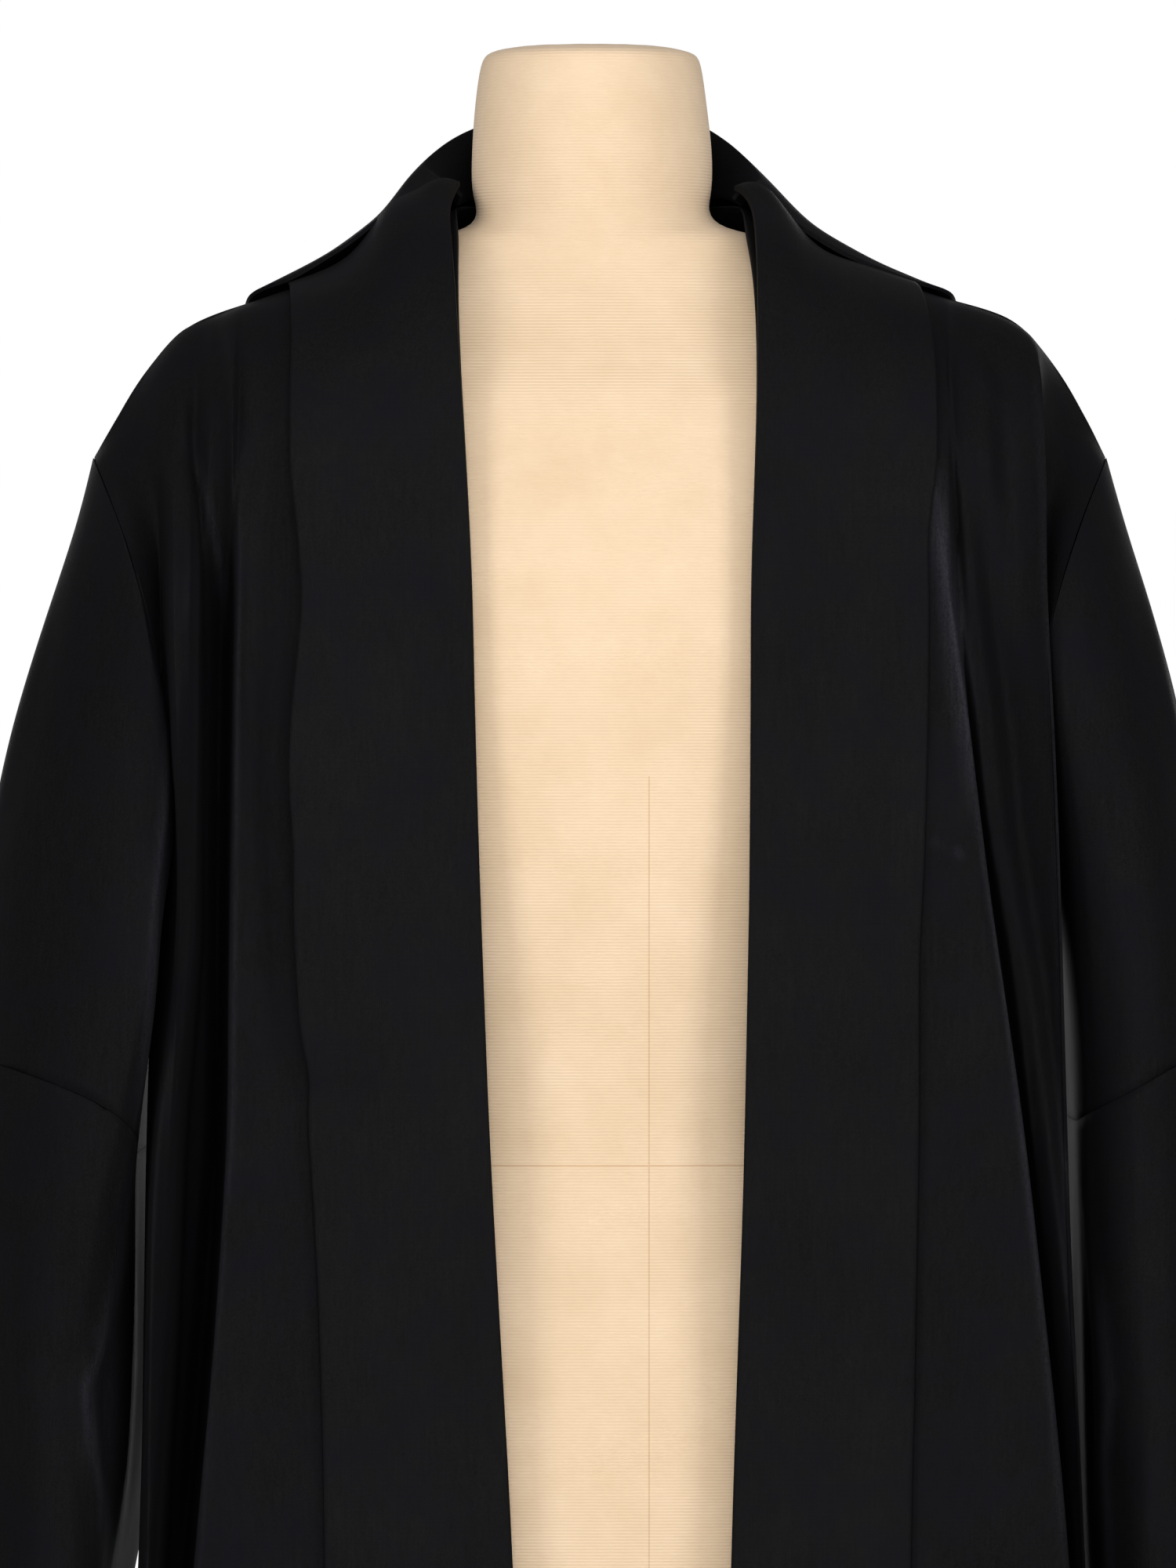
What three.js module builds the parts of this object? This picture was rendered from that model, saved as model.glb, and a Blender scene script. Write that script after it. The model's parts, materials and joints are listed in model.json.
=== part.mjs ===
// An open judge gown on an armless dress form. Millimetres, +Z up, the front faces -Y.
// The origin is on the floor, at the centre of the stand's base.
import * as THREE from 'three';
import { mergeVertices } from 'three/addons/utils/BufferGeometryUtils.js';

// Thickness of the cloth walls, and the space left between two pieces at a seam.
const CLOTH = 2;
const SEAM_GAP = 0.3;
// Points nearer to each other than this are one point.
const SAME_POINT = 1e-4;
const LEFT = -1;
const RIGHT = 1;

// The chest line, where the fronts start to curve in to the shoulders, and the back neckline.
const CHEST_Z = 1300;
const NECK_SIDE_X = 70;
const NECK_SIDE_Z = 1484;
const NECK_BACK = { y: 68, rise: 8 };

// Ridge of the shoulders: height of the cloth's outer face over the shoulder seam.
const RIDGE = [
  { x: 0, left: 1487, right: 1487 },
  { x: NECK_SIDE_X, left: NECK_SIDE_Z, right: NECK_SIDE_Z },
  { x: 100, left: 1468, right: 1468 },
  { x: 150, left: 1449, right: 1450 },
  { x: 180, left: 1438.5, right: 1440 },
  { x: 200, left: 1431, right: 1434 },
  { x: 215, left: 1424, right: 1428 },
  { x: 231, left: 1406, right: 1410 },
  { x: 244, left: 1388, right: 1391 },
  { x: 254, left: 1369, right: 1371 },
  { x: 260, left: 1359, right: 1359 },
];

// Heights of the rows of a body panel below the chest, inside the panel and at its side seam.
const ROWS_BELOW = [
  { inside: 190, side: 190 },
  { inside: 335, side: 335 },
  { inside: 480, side: 480 },
  { inside: 634, side: 634 },
  { inside: 788, side: 788 },
  { inside: 894, side: 894 },
  { inside: 1000, side: 1000 },
  { inside: 1060, side: 1080 },
  { inside: 1115, side: 1145 },
  { inside: 1160, side: 1190 },
];
const ROWS_CHEST = [1200, 1250, CHEST_Z];
// Rows from the chest up over the shoulder, and how full the curve is: less is fuller.
const ARCH_STEPS = 6;
const ARCH_FULLNESS = 0.8;
const ARMHOLE_STEPS = ROWS_CHEST.length + ARCH_STEPS;

// Heights at which the lines of the fronts and the back are given.
const STATIONS = { hem: 190, knee: 480, hip: 788, waist: 1000, rib: 1150, chest: CHEST_Z };
// Side seams: distance from the middle at each height.
const SIDE_SEAM = [
  { z: 190, left: 275, right: 284 },
  { z: 480, left: 255, right: 262 },
  { z: 788, left: 236.5, right: 247 },
  { z: 1000, left: 233, right: 238.5 },
  { z: 1080, left: 230.5, right: 232 },
  { z: 1145, left: 226, right: 227 },
  { z: 1190, left: 219, right: 219 },
];

// Lines that run down a front panel, from the opening out to the sleeve. at: column of the grid.
// top: place on the shoulder ridge. bow: swell of the line between chest and shoulder.
// The others give the distance from the middle and the depth at each height.
const FRONT_LEFT_LINES = [
  { name: 'opening', at: 0, top: 70, bow: 6, chest: [65, -112], rib: [61, -116], waist: [55, -118],
    hip: [44, -122], knee: [34, -127], hem: [26, -130] },
  { name: 'band middle', at: 3, top: 112, bow: 3, chest: [108, -108], rib: [107, -114], waist: [100, -118],
    hip: [90, -126], knee: [84, -133], hem: [80, -138] },
  { name: 'band edge', at: 6, top: 159, bow: 1, chest: [152, -101], rib: [154, -109], waist: [146, -116],
    hip: [139, -127], knee: [140, -137], hem: [144, -145] },
  { name: 'fold face', at: 8, top: 180, bow: 0, chest: [174, -97], rib: [176, -106], waist: [176, -114],
    hip: [184, -128], knee: [202, -142], hem: [216, -150] },
  { name: 'fold edge', at: 10, top: 194, bow: 0, chest: [185, -92], rib: [187.5, -100], waist: [189.5, -110],
    hip: [206, -124], knee: [228, -136], hem: [246, -144] },
  { name: 'recess wall', at: 11, top: 200, bow: 0, chest: [188, -74], rib: [189, -74], waist: [191, -76],
    hip: [207, -84], knee: [229, -96], hem: [247, -104] },
  { name: 'recess floor', at: 13, top: 209, bow: 0, chest: [197, -63], rib: [196, -57], waist: [197, -44],
    hip: [212, -34], knee: [234, -44], hem: [252, -52] },
  { name: 'roll wall', at: 14, top: 216, bow: 0, chest: [204, -69], rib: [203, -60], waist: [206, -43],
    hip: [219, -28], knee: [241, -38], hem: [258, -46] },
  { name: 'roll', at: 16, top: 234, bow: 0, chest: [217, -80], rib: [213, -68], waist: [219, -48],
    hip: [229, -30], knee: [248, -38], hem: [267, -44] },
  { name: 'side face', at: 18, top: 250, bow: 0, chest: [223, -86], rib: [215, -42], waist: [227, -30],
    hip: [235, -20], knee: [254, -24], hem: [274, -28] },
];
const FRONT_RIGHT_LINES = [
  { name: 'opening', at: 0, top: 68, bow: 5, chest: [77, -112], rib: [76, -116], waist: [73, -118],
    hip: [66.5, -122], knee: [60, -127], hem: [55, -130] },
  { name: 'band middle', at: 3, top: 114, bow: 4, chest: [120, -108], rib: [120, -114], waist: [118, -118],
    hip: [112, -126], knee: [110, -133], hem: [110, -138] },
  { name: 'band edge', at: 6, top: 160, bow: 3, chest: [166, -101], rib: [164, -109], waist: [162, -116],
    hip: [158, -127], knee: [160, -137], hem: [164, -145] },
  { name: 'fold face', at: 7, top: 170, bow: 0, chest: [172, -99], rib: [179, -109], waist: [189, -119],
    hip: [205, -135], knee: [223, -147], hem: [237, -155] },
  { name: 'fold edge', at: 9, top: 178, bow: 0, chest: [178, -96], rib: [196, -109], waist: [217, -118],
    hip: [238, -129], knee: [258, -139], hem: [276, -146] },
  { name: 'fold under', at: 10, top: 183, bow: 0, chest: [182, -83], rib: [194, -84], waist: [213, -87],
    hip: [234, -95], knee: [253, -103], hem: [271, -109] },
  { name: 'second face', at: 12, top: 205, bow: 0, chest: [202, -79], rib: [210, -76], waist: [222, -73],
    hip: [237, -78], knee: [255, -86], hem: [273, -92] },
  { name: 'second edge', at: 14, top: 222, bow: 0, chest: [227, -95], rib: [234, -91], waist: [238.5, -86],
    hip: [246.5, -86], knee: [263, -92], hem: [282, -97] },
  { name: 'second under', at: 15, top: 232, bow: 0, chest: [221, -87], rib: [225.5, -73], waist: [234, -66],
    hip: [246, -66], knee: [262, -70], hem: [282, -74] },
  { name: 'side face', at: 18, top: 250, bow: 0, chest: [223, -86], rib: [215, -40], waist: [233, -32],
    hip: [247, -30], knee: [262, -34], hem: [284, -36] },
];
const FRONT_COLUMNS = 22;
const BAND_COLUMNS = 6;

// Plan of the back at each height: half width to each side, depth at the middle, and share of the pleats.
const BACK_PLAN = [
  { z: 190, left: 275, right: 284, depth: 168, pleat: 1 },
  { z: 480, left: 255, right: 262, depth: 158, pleat: 0.95 },
  { z: 788, left: 236, right: 248, depth: 146, pleat: 0.75 },
  { z: 1000, left: 230, right: 236, depth: 138, pleat: 0.55 },
  { z: 1100, left: 220, right: 223, depth: 134, pleat: 0.4 },
  { z: 1200, left: 216, right: 216, depth: 130, pleat: 0.2 },
  { z: 1250, left: 221, right: 221, depth: 128, pleat: 0.1 },
  { z: 1300, left: 231, right: 231, depth: 125, pleat: 0 },
];
const BACK_HALF_COLUMNS = 22;
// Lines down one half of the back. at: column counted from the middle. out: share of the half width.
// chest, rib and waist: share of the depth at those heights.
const BACK_LINES = [
  { at: 0, top: 0, out: 0, chest: 1, rib: 1, waist: 1 },
  { at: 3, top: 70, out: 0.285, chest: 0.99, rib: 0.99, waist: 0.985 },
  { at: 7, top: 120, out: 0.5, chest: 0.965, rib: 0.945, waist: 0.93 },
  { at: 11, top: 170, out: 0.705, chest: 0.92, rib: 0.86, waist: 0.83 },
  { at: 15, top: 212, out: 0.857, chest: 0.86, rib: 0.69, waist: 0.66 },
  { at: 18, top: 238, out: 0.94, chest: 0.8, rib: 0.53, waist: 0.5 },
  { at: 20, top: 252, out: 0.985, chest: 0.73, rib: 0.31, waist: 0.27 },
];
// How far a line keeps to the heights of the armhole edge, by its share of the way out to it.
const FOLLOW_EDGE = [
  { share: 0, follow: 0 },
  { share: 0.6, follow: 0.1 },
  { share: 0.8, follow: 0.6 },
  { share: 1, follow: 1 },
];
// Soft pleats of the back. at: column from the left side seam. out: height of the pleat at the hem.
const BACK_PLEATS = [
  { at: 6.5, width: 1.5, out: 24 },
  { at: 10.6, width: 1.3, out: -16 },
  { at: 14.0, width: 1.6, out: 27 },
  { at: 18.2, width: 1.5, out: -14 },
  { at: 21.4, width: 1.7, out: 22 },
  { at: 25.6, width: 1.4, out: -17 },
  { at: 29.0, width: 1.5, out: 28 },
  { at: 33.2, width: 1.4, out: -15 },
  { at: 37.0, width: 1.6, out: 23 },
];

// Rings of a sleeve. outer and inner: far and near point seen from the front. front and back: depths.
// hug and behind: how far the ring bends round the body, in front and at the back.
const SLEEVE_LEFT_RINGS = [
  { name: 'armhole', at: 0, outer: [260, 1359], inner: [219, 1190], front: 88, back: 92, hug: 10, behind: 10 },
  { name: 'cap', at: 1, outer: [270, 1322], inner: [226, 1162], front: 98, back: 102, hug: 24, behind: 12 },
  { name: 'upper arm', at: 3, outer: [298, 1235], inner: [234, 1106], front: 106, back: 110, hug: 38, behind: 24 },
  { name: 'biceps', at: 5, outer: [314, 1160], inner: [237, 1062], front: 108, back: 113, hug: 41, behind: 34 },
  { name: 'cross seam', at: 7, outer: [323, 1052], inner: [238, 1001], front: 110, back: 116, hug: 30, behind: 40 },
  { name: 'forearm', at: 9, outer: [329, 925], inner: [239.5, 895], front: 112, back: 118, hug: 12, behind: 42 },
  { name: 'wrist', at: 11, outer: [333, 800], inner: [241.5, 788], front: 115, back: 121, hug: 12, behind: 40 },
  { name: 'cuff', at: 12, outer: [336, 715], inner: [245, 708], front: 117, back: 123, hug: 14, behind: 36 },
];
const SLEEVE_RIGHT_RINGS = [
  { name: 'armhole', at: 0, outer: [260, 1359], inner: [219, 1190], front: 88, back: 92, hug: 10, behind: 10 },
  { name: 'cap', at: 1, outer: [271, 1322], inner: [227.5, 1162], front: 92, back: 102, hug: 8, behind: 12 },
  { name: 'upper arm', at: 3, outer: [297, 1232], inner: [237, 1106], front: 92, back: 110, hug: 3, behind: 22 },
  { name: 'biceps', at: 5, outer: [308, 1160], inner: [241, 1068], front: 93, back: 113, hug: 3, behind: 32 },
  { name: 'cross seam', at: 7, outer: [319, 1060], inner: [244, 1018], front: 96, back: 116, hug: 4, behind: 38 },
  { name: 'forearm', at: 9, outer: [326, 930], inner: [248, 905], front: 100, back: 118, hug: 6, behind: 40 },
  { name: 'wrist', at: 11, outer: [331, 802], inner: [252, 790], front: 103, back: 121, hug: 6, behind: 38 },
  { name: 'cuff', at: 12, outer: [334, 717], inner: [256, 708], front: 105, back: 123, hug: 6, behind: 34 },
];
const CROSS_SEAM_ROW = 7;

// The turned-back band on the front: clearance under it and its rise into the collar.
// The rise starts some rows below the shoulder, is highest at x and reaches width to its sides.
const BAND_CLEAR = { inner: 0.5, outer: 5 };
const BAND_RISE = {
  left: { x: 93, high: 21, width: 26, inner: 11 },
  right: { x: 82, high: 14, width: 20, inner: 10 },
};
const BAND_RISE_ROWS = 4;
const BAND_RISE_LEAST = 1;
// Depth of the gorge seams, where the bands meet the collar.
const GORGE_Y = -12;

// Sections across the collar, from the gorge round to the middle of the back.
// Each point is [distance from the middle, depth, height].
const COLLAR_MIDDLE = { seam: [0, 69, 1497], roll: [0, 79, 1541], lie: [0, 108, 1492], mid: [0, 128, 1428],
  edge: [0, 132, 1345] };
const COLLAR_LEFT = [
  { name: 'gorge', at: 0, seam: [70, -12, 1494], roll: [82, -12, 1502], lie: [106, -12, 1488],
    mid: [130, -12, 1469], edge: [160, -12, 1451] },
  { name: 'shoulder', at: 2, seam: [72, 6, 1489], roll: [90, 8, 1510], lie: [112, 8, 1486],
    mid: [143, 8, 1462], edge: [180, 6, 1443] },
  { name: 'behind', at: 4, seam: [65, 32, 1493], roll: [75, 38, 1525], lie: [111, 50, 1486],
    mid: [150, 56, 1450], edge: [184, 50, 1430] },
  { name: 'nape', at: 7, seam: [36, 61, 1496], roll: [42, 68, 1538], lie: [86, 98, 1484],
    mid: [130, 116, 1420], edge: [183, 121, 1352] },
  { name: 'back', at: 10, seam: [17, 67, 1497], roll: [20, 77, 1540], lie: [42, 107, 1490],
    mid: [66, 127, 1426], edge: [90, 130, 1345] },
];
const COLLAR_RIGHT = [
  { name: 'gorge', at: 0, seam: [68, -12, 1492], roll: [76, -12, 1499], lie: [98, -12, 1482],
    mid: [126, -12, 1464], edge: [161, -12, 1450] },
  { name: 'shoulder', at: 2, seam: [72, 6, 1489], roll: [83, 8, 1503], lie: [106, 8, 1482],
    mid: [143, 8, 1460], edge: [181, 6, 1444] },
  { name: 'behind', at: 4, seam: [65, 32, 1493], roll: [71, 38, 1519], lie: [108, 50, 1482],
    mid: [151, 57, 1453], edge: [185, 51, 1434] },
  { name: 'nape', at: 7, seam: [36, 61, 1496], roll: [42, 68, 1537], lie: [86, 98, 1484],
    mid: [131, 117, 1421], edge: [184, 123, 1353] },
  { name: 'back', at: 10, seam: [17, 67, 1497], roll: [20, 77, 1540], lie: [42, 107, 1490],
    mid: [66, 127, 1426], edge: [90, 130, 1345] },
];
const COLLAR_HALF_STEPS = 12;
const COLLAR_ACROSS = [
  { part: 'seam', at: 0 },
  { part: 'roll', at: 2 },
  { part: 'lie', at: 4 },
  { part: 'mid', at: 6 },
  { part: 'edge', at: 8 },
];
// The collar's fall is its part outside this column, and it faces away from this point.
const COLLAR_FALL = 4;
const COLLAR_INSIDE = { x: 0, y: 0, z: 1380 };

// Rings of the form, from its underside to the top of the neck. middle: sideways shift.
const FORM_RINGS = [
  { z: 740, half: 156, front: 102, back: 106, power: 2.3, middle: 0 },
  { z: 752, half: 161, front: 106, back: 110, power: 2.3, middle: 0 },
  { z: 800, half: 166, front: 108, back: 112, power: 2.3, middle: 0 },
  { z: 880, half: 163, front: 105, back: 106, power: 2.3, middle: 0 },
  { z: 1000, half: 142, front: 99, back: 86, power: 2.2, middle: 0 },
  { z: 1060, half: 138, front: 100, back: 86, power: 2.2, middle: 0 },
  { z: 1150, half: 149, front: 106, back: 95, power: 2.3, middle: 0 },
  { z: 1250, half: 161, front: 109, back: 106, power: 2.4, middle: 0 },
  { z: 1330, half: 178, front: 105, back: 110, power: 2.3, middle: 0 },
  { z: 1380, half: 198, front: 95, back: 103, power: 2.1, middle: 0 },
  { z: 1403, half: 204, front: 84, back: 93, power: 2.0, middle: 0 },
  { under: 202, front: 75, back: 83, power: 1.7, middle: 0 },
  { under: 190, front: 70, back: 78, power: 1.65, middle: 0 },
  { under: 172, front: 66, back: 74, power: 1.65, middle: 0 },
  { under: 150, front: 63, back: 72, power: 1.7, middle: 0 },
  { under: 128, front: 59, back: 68, power: 1.75, middle: 0 },
  { under: 108, front: 56, back: 65, power: 1.8, middle: 0 },
  { under: 90, front: 54, back: 62, power: 1.9, middle: 0 },
  { z: 1477, half: 67, front: 52, back: 54, power: 2, middle: -2 },
  { z: 1486, half: 60, front: 52, back: 51, power: 2, middle: -3.5 },
  { z: 1497, half: 61.5, front: 53, back: 54, power: 2, middle: -4 },
  { z: 1517, half: 61.5, front: 55, back: 57, power: 2, middle: -4 },
  { z: 1540, half: 59.5, front: 55, back: 56, power: 2, middle: -4.5 },
  { z: 1560, half: 56.5, front: 53, back: 54, power: 2, middle: -4.5 },
  { z: 1567, half: 51, front: 49, back: 50, power: 2, middle: -4.5 },
  { z: 1570, half: 36, front: 35, back: 35, power: 2, middle: -4.5 },
];
// Where a ring is given as under a place on the shoulder ridge, it lies this far below the cloth's face.
const SHOULDER_CLEAR = 3.2;
const FORM_AROUND = 32;

// The stand: a round base with a hub, and a pole that reaches up into the form.
const POLE = { radius: 16, bottom: 14.3, top: 839.7, sides: 24 };
const SOCKET_RADIUS = 16.6;
const FORM_SOCKET_TOP = 840;
const BASE = {
  radius: 190,
  foot: 1,
  edge: 8,
  round: 1.5,
  slope: { share: 0.55, rise: 0.55 },
  dome: 22,
  domeReach: 12,
  hubRadius: 27,
  hubFoot: 6,
  hubTop: 62,
  hubRound: 2,
  socketFloor: 14,
  sides: 48,
};
// The cap on the form's neck rises this much to its middle.
const NECK_CAP_RISE = 0.5;

const CLOTH_FINISH = { color: 0x161618, roughness: 0.6, metalness: 0 };
const BAND_FINISH = { color: 0x18181a, roughness: 0.5, metalness: 0 };
const JERSEY_FINISH = { color: 0xf6dfbb, roughness: 0.9, metalness: 0 };
const STEEL_FINISH = { color: 0xb9bcbf, roughness: 0.35, metalness: 1 };
// Two seam directions further apart than this (cosine) stay as they are.
const SHARED_WAY_LEAST = 0.2;

// Smooth line through (xs, ys) that never overshoots its points, read at x.
function smoothLine(xs, ys, x) {
  const last = xs.length - 1;
  if (x <= xs[0]) return ys[0];
  if (x >= xs[last]) return ys[last];
  const step = (i) => xs[i + 1] - xs[i];
  const rise = (i) => (ys[i + 1] - ys[i]) / step(i);
  const slope = (i) => {
    if (i === 0) return rise(0);
    if (i === last) return rise(last - 1);
    const before = rise(i - 1);
    const after = rise(i);
    if (before * after <= 0) return 0;
    const heavy = 2 * step(i) + step(i - 1);
    const light = step(i) + 2 * step(i - 1);
    return (heavy + light) / (heavy / before + light / after);
  };
  let i = 0;
  while (x > xs[i + 1]) i += 1;
  const h = step(i);
  const t = (x - xs[i]) / h;
  const s = 1 - t;
  const ends = ys[i] * s * s * (1 + 2 * t) + ys[i + 1] * t * t * (3 - 2 * t);
  return ends + h * (slope(i) * t * s * s - slope(i + 1) * t * t * s);
}

// A column of a table, read smoothly at a place along another column.
function readTable(rows, along, column, place) {
  return smoothLine(rows.map((row) => row[along]), rows.map((row) => row[column]), place);
}

// The point at one column of a row of points whose columns are given in places.
function pointBetween(places, points, place) {
  return new THREE.Vector3(
    smoothLine(places, points.map((p) => p.x), place),
    smoothLine(places, points.map((p) => p.y), place),
    smoothLine(places, points.map((p) => p.z), place),
  );
}

function ridgeHeight(side, x) {
  return readTable(RIDGE, 'x', sideName(side), x);
}

function sideName(side) {
  return side === LEFT ? 'left' : 'right';
}

// A grid of points holds rows of columns. Its normals come from the neighbours of each point.
function gridNormals(grid, closed) {
  const rows = grid.length;
  const columns = grid[0].length;
  return grid.map((row, r) => row.map((_, c) => {
    const up = grid[Math.min(r + 1, rows - 1)][c].clone().sub(grid[Math.max(r - 1, 0)][c]);
    const next = closed ? (c + 1) % columns : Math.min(c + 1, columns - 1);
    const previous = closed ? (c + columns - 1) % columns : Math.max(c - 1, 0);
    const across = row[next].clone().sub(row[previous]);
    return across.cross(up).normalize();
  }));
}

// Turns all normals round if most of them face the place that outFrom gives for a point.
function faceOut(grid, normals, outFrom) {
  let sum = 0;
  grid.forEach((row, r) => row.forEach((p, c) => {
    sum += normals[r][c].dot(p.clone().sub(outFrom(p, r)));
  }));
  if (sum < 0) normals.forEach((row) => row.forEach((n) => n.negate()));
  return normals;
}

// A closed wall between an outer and an inner grid.
function wallGeometry(outer, inner, closed) {
  const rows = outer.length;
  const columns = outer[0].length;
  const positions = [...outer.flat(), ...inner.flat()].flatMap((p) => [p.x, p.y, p.z]);
  const out = (r, c) => r * columns + (c % columns);
  const ins = (r, c) => rows * columns + out(r, c);
  const faces = [];
  const quad = (a, b, c, d) => faces.push(a, b, c, a, c, d);
  const spans = closed ? columns : columns - 1;
  for (let r = 0; r < rows - 1; r += 1) {
    for (let c = 0; c < spans; c += 1) {
      quad(out(r, c), out(r, c + 1), out(r + 1, c + 1), out(r + 1, c));
      quad(ins(r, c), ins(r + 1, c), ins(r + 1, c + 1), ins(r, c + 1));
    }
    if (!closed) {
      quad(out(r, 0), out(r + 1, 0), ins(r + 1, 0), ins(r, 0));
      quad(out(r, spans), ins(r, spans), ins(r + 1, spans), out(r + 1, spans));
    }
  }
  for (let c = 0; c < spans; c += 1) {
    quad(out(0, c), ins(0, c), ins(0, c + 1), out(0, c + 1));
    quad(out(rows - 1, c), out(rows - 1, c + 1), ins(rows - 1, c + 1), ins(rows - 1, c));
  }
  return solidGeometry(positions, faces);
}

// Geometry from points and faces, turned so that its faces point out.
function solidGeometry(positions, faces) {
  const at = (i) => new THREE.Vector3(positions[3 * i], positions[3 * i + 1], positions[3 * i + 2]);
  let volume = 0;
  for (let i = 0; i < faces.length; i += 3) {
    volume += at(faces[i]).dot(at(faces[i + 1]).cross(at(faces[i + 2])));
  }
  if (volume < 0) faces.reverse();
  const geometry = new THREE.BufferGeometry();
  geometry.setAttribute('position', new THREE.Float32BufferAttribute(positions, 3));
  geometry.setIndex(faces);
  return mergeVertices(geometry, SAME_POINT);
}

// Moves each point of a grid along its normal. lift may be a number or a function of row and column.
function movedOut(grid, normals, lift) {
  return grid.map((row, r) => row.map((p, c) => {
    const by = typeof lift === 'number' ? lift : lift(r, c);
    return p.clone().addScaledVector(normals[r][c], by);
  }));
}

function clothWall(grid, normals, closed = false) {
  return wallGeometry(grid, movedOut(grid, normals, -CLOTH), closed);
}

// Moves a point on an edge towards its neighbour inside the piece.
function pullBack(point, neighbour, by) {
  const way = neighbour.clone().sub(point).normalize();
  point.addScaledVector(way, by);
}

function mesh(name, geometry, finish) {
  const made = new THREE.Mesh(geometry, new THREE.MeshStandardMaterial(finish));
  made.name = name;
  return made;
}

// The ring of a sleeve at a row, as 2 * ARMHOLE_STEPS points from the outer point round the front.
function sleeveRing(side, row) {
  const rings = side === LEFT ? SLEEVE_LEFT_RINGS : SLEEVE_RIGHT_RINGS;
  const part = (column, index) => smoothLine(
    rings.map((ring) => ring.at),
    rings.map((ring) => (index === undefined ? ring[column] : ring[column][index])),
    row,
  );
  const outer = { x: part('outer', 0), z: part('outer', 1) };
  const inner = { x: part('inner', 0), z: part('inner', 1) };
  const points = [];
  for (let k = 0; k < 2 * ARMHOLE_STEPS; k += 1) {
    const turn = (Math.PI * k) / ARMHOLE_STEPS;
    const cos = Math.cos(turn);
    const sin = Math.sin(turn);
    const depth = sin > 0 ? part('front') : part('back');
    const hug = sin > 0 ? part('hug') : part('behind');
    points.push(new THREE.Vector3(
      side * ((outer.x + inner.x) / 2 + ((outer.x - inner.x) / 2) * cos - hug * sin * sin),
      -depth * sin,
      (outer.z + inner.z) / 2 + ((outer.z - inner.z) / 2) * cos,
    ));
  }
  return points;
}

// The armhole edge of a body panel, from the underarm up to the shoulder end.
function armholeEdge(side, isFront) {
  const ring = sleeveRing(side, 0);
  const edge = [];
  for (let k = 0; k <= ARMHOLE_STEPS; k += 1) {
    const fromTop = ARMHOLE_STEPS - k;
    const index = isFront ? fromTop : (2 * ARMHOLE_STEPS - fromTop) % (2 * ARMHOLE_STEPS);
    const p = ring[index].clone();
    if (k === 0 || k === ARMHOLE_STEPS) p.y = 0;
    edge.push(p);
  }
  return edge;
}

// The outer edge of a body panel: the side seam from the hem up, then the armhole.
function outerEdge(side, isFront) {
  const seam = ROWS_BELOW.slice(0, -1).map((row) => new THREE.Vector3(
    side * readTable(SIDE_SEAM, 'z', sideName(side), row.side), 0, row.side,
  ));
  return [...seam, ...armholeEdge(side, isFront)];
}

// Points up one line of a panel: the rows' heights to the chest, then an arch to its top.
// share is the line's place between the panel's other edge and its outer edge.
function panelLine(side, edge, share, top, bow, placeAt) {
  const follow = readTable(FOLLOW_EDGE, 'share', 'follow', share);
  const inside = [...ROWS_BELOW.map((row) => row.inside), ...ROWS_CHEST];
  const heights = inside.map((z, r) => THREE.MathUtils.lerp(z, edge[r].z, follow));
  const points = heights.map((z) => {
    const [x, y] = placeAt(z);
    return new THREE.Vector3(side * x, y, z);
  });
  const chestZ = heights[heights.length - 1];
  const [chestX, chestY] = placeAt(chestZ);
  for (let k = 1; k <= ARCH_STEPS; k += 1) {
    const turn = (Math.PI / 2) * (k / ARCH_STEPS);
    const cos = k === ARCH_STEPS ? 0 : Math.cos(turn);
    const rise = Math.sin(turn) ** ARCH_FULLNESS;
    points.push(new THREE.Vector3(
      side * (chestX + (top.x - chestX) * (1 - cos) + bow * Math.sin(2 * turn)),
      top.y + (chestY - top.y) * cos,
      chestZ + (top.z - chestZ) * rise,
    ));
  }
  return points;
}

// Grid of a front panel, hem first, from the opening to the side seam and armhole.
function frontGrid(side) {
  const lines = side === LEFT ? FRONT_LEFT_LINES : FRONT_RIGHT_LINES;
  const names = ['hem', 'knee', 'hip', 'waist', 'rib', 'chest'];
  const heights = names.map((name) => STATIONS[name]);
  const edge = outerEdge(side, true);
  const tracks = lines.map((line) => {
    const placeAt = (z) => [0, 1].map((i) => smoothLine(heights, names.map((name) => line[name][i]), z));
    const top = { x: line.top, y: 0, z: ridgeHeight(side, line.top) };
    return panelLine(side, edge, line.at / FRONT_COLUMNS, top, line.bow, placeAt);
  });
  tracks.push(edge);
  const places = [...lines.map((line) => line.at), FRONT_COLUMNS];
  return gridFromTracks(places, tracks, FRONT_COLUMNS);
}

// Rows of a grid read across its tracks, the lines that run along it.
function gridFromTracks(places, tracks, columns) {
  return tracks[0].map((_, r) => {
    const row = [];
    for (let c = 0; c <= columns; c += 1) {
      row.push(pointBetween(places, tracks.map((track) => track[r]), c));
    }
    return row;
  });
}

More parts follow.
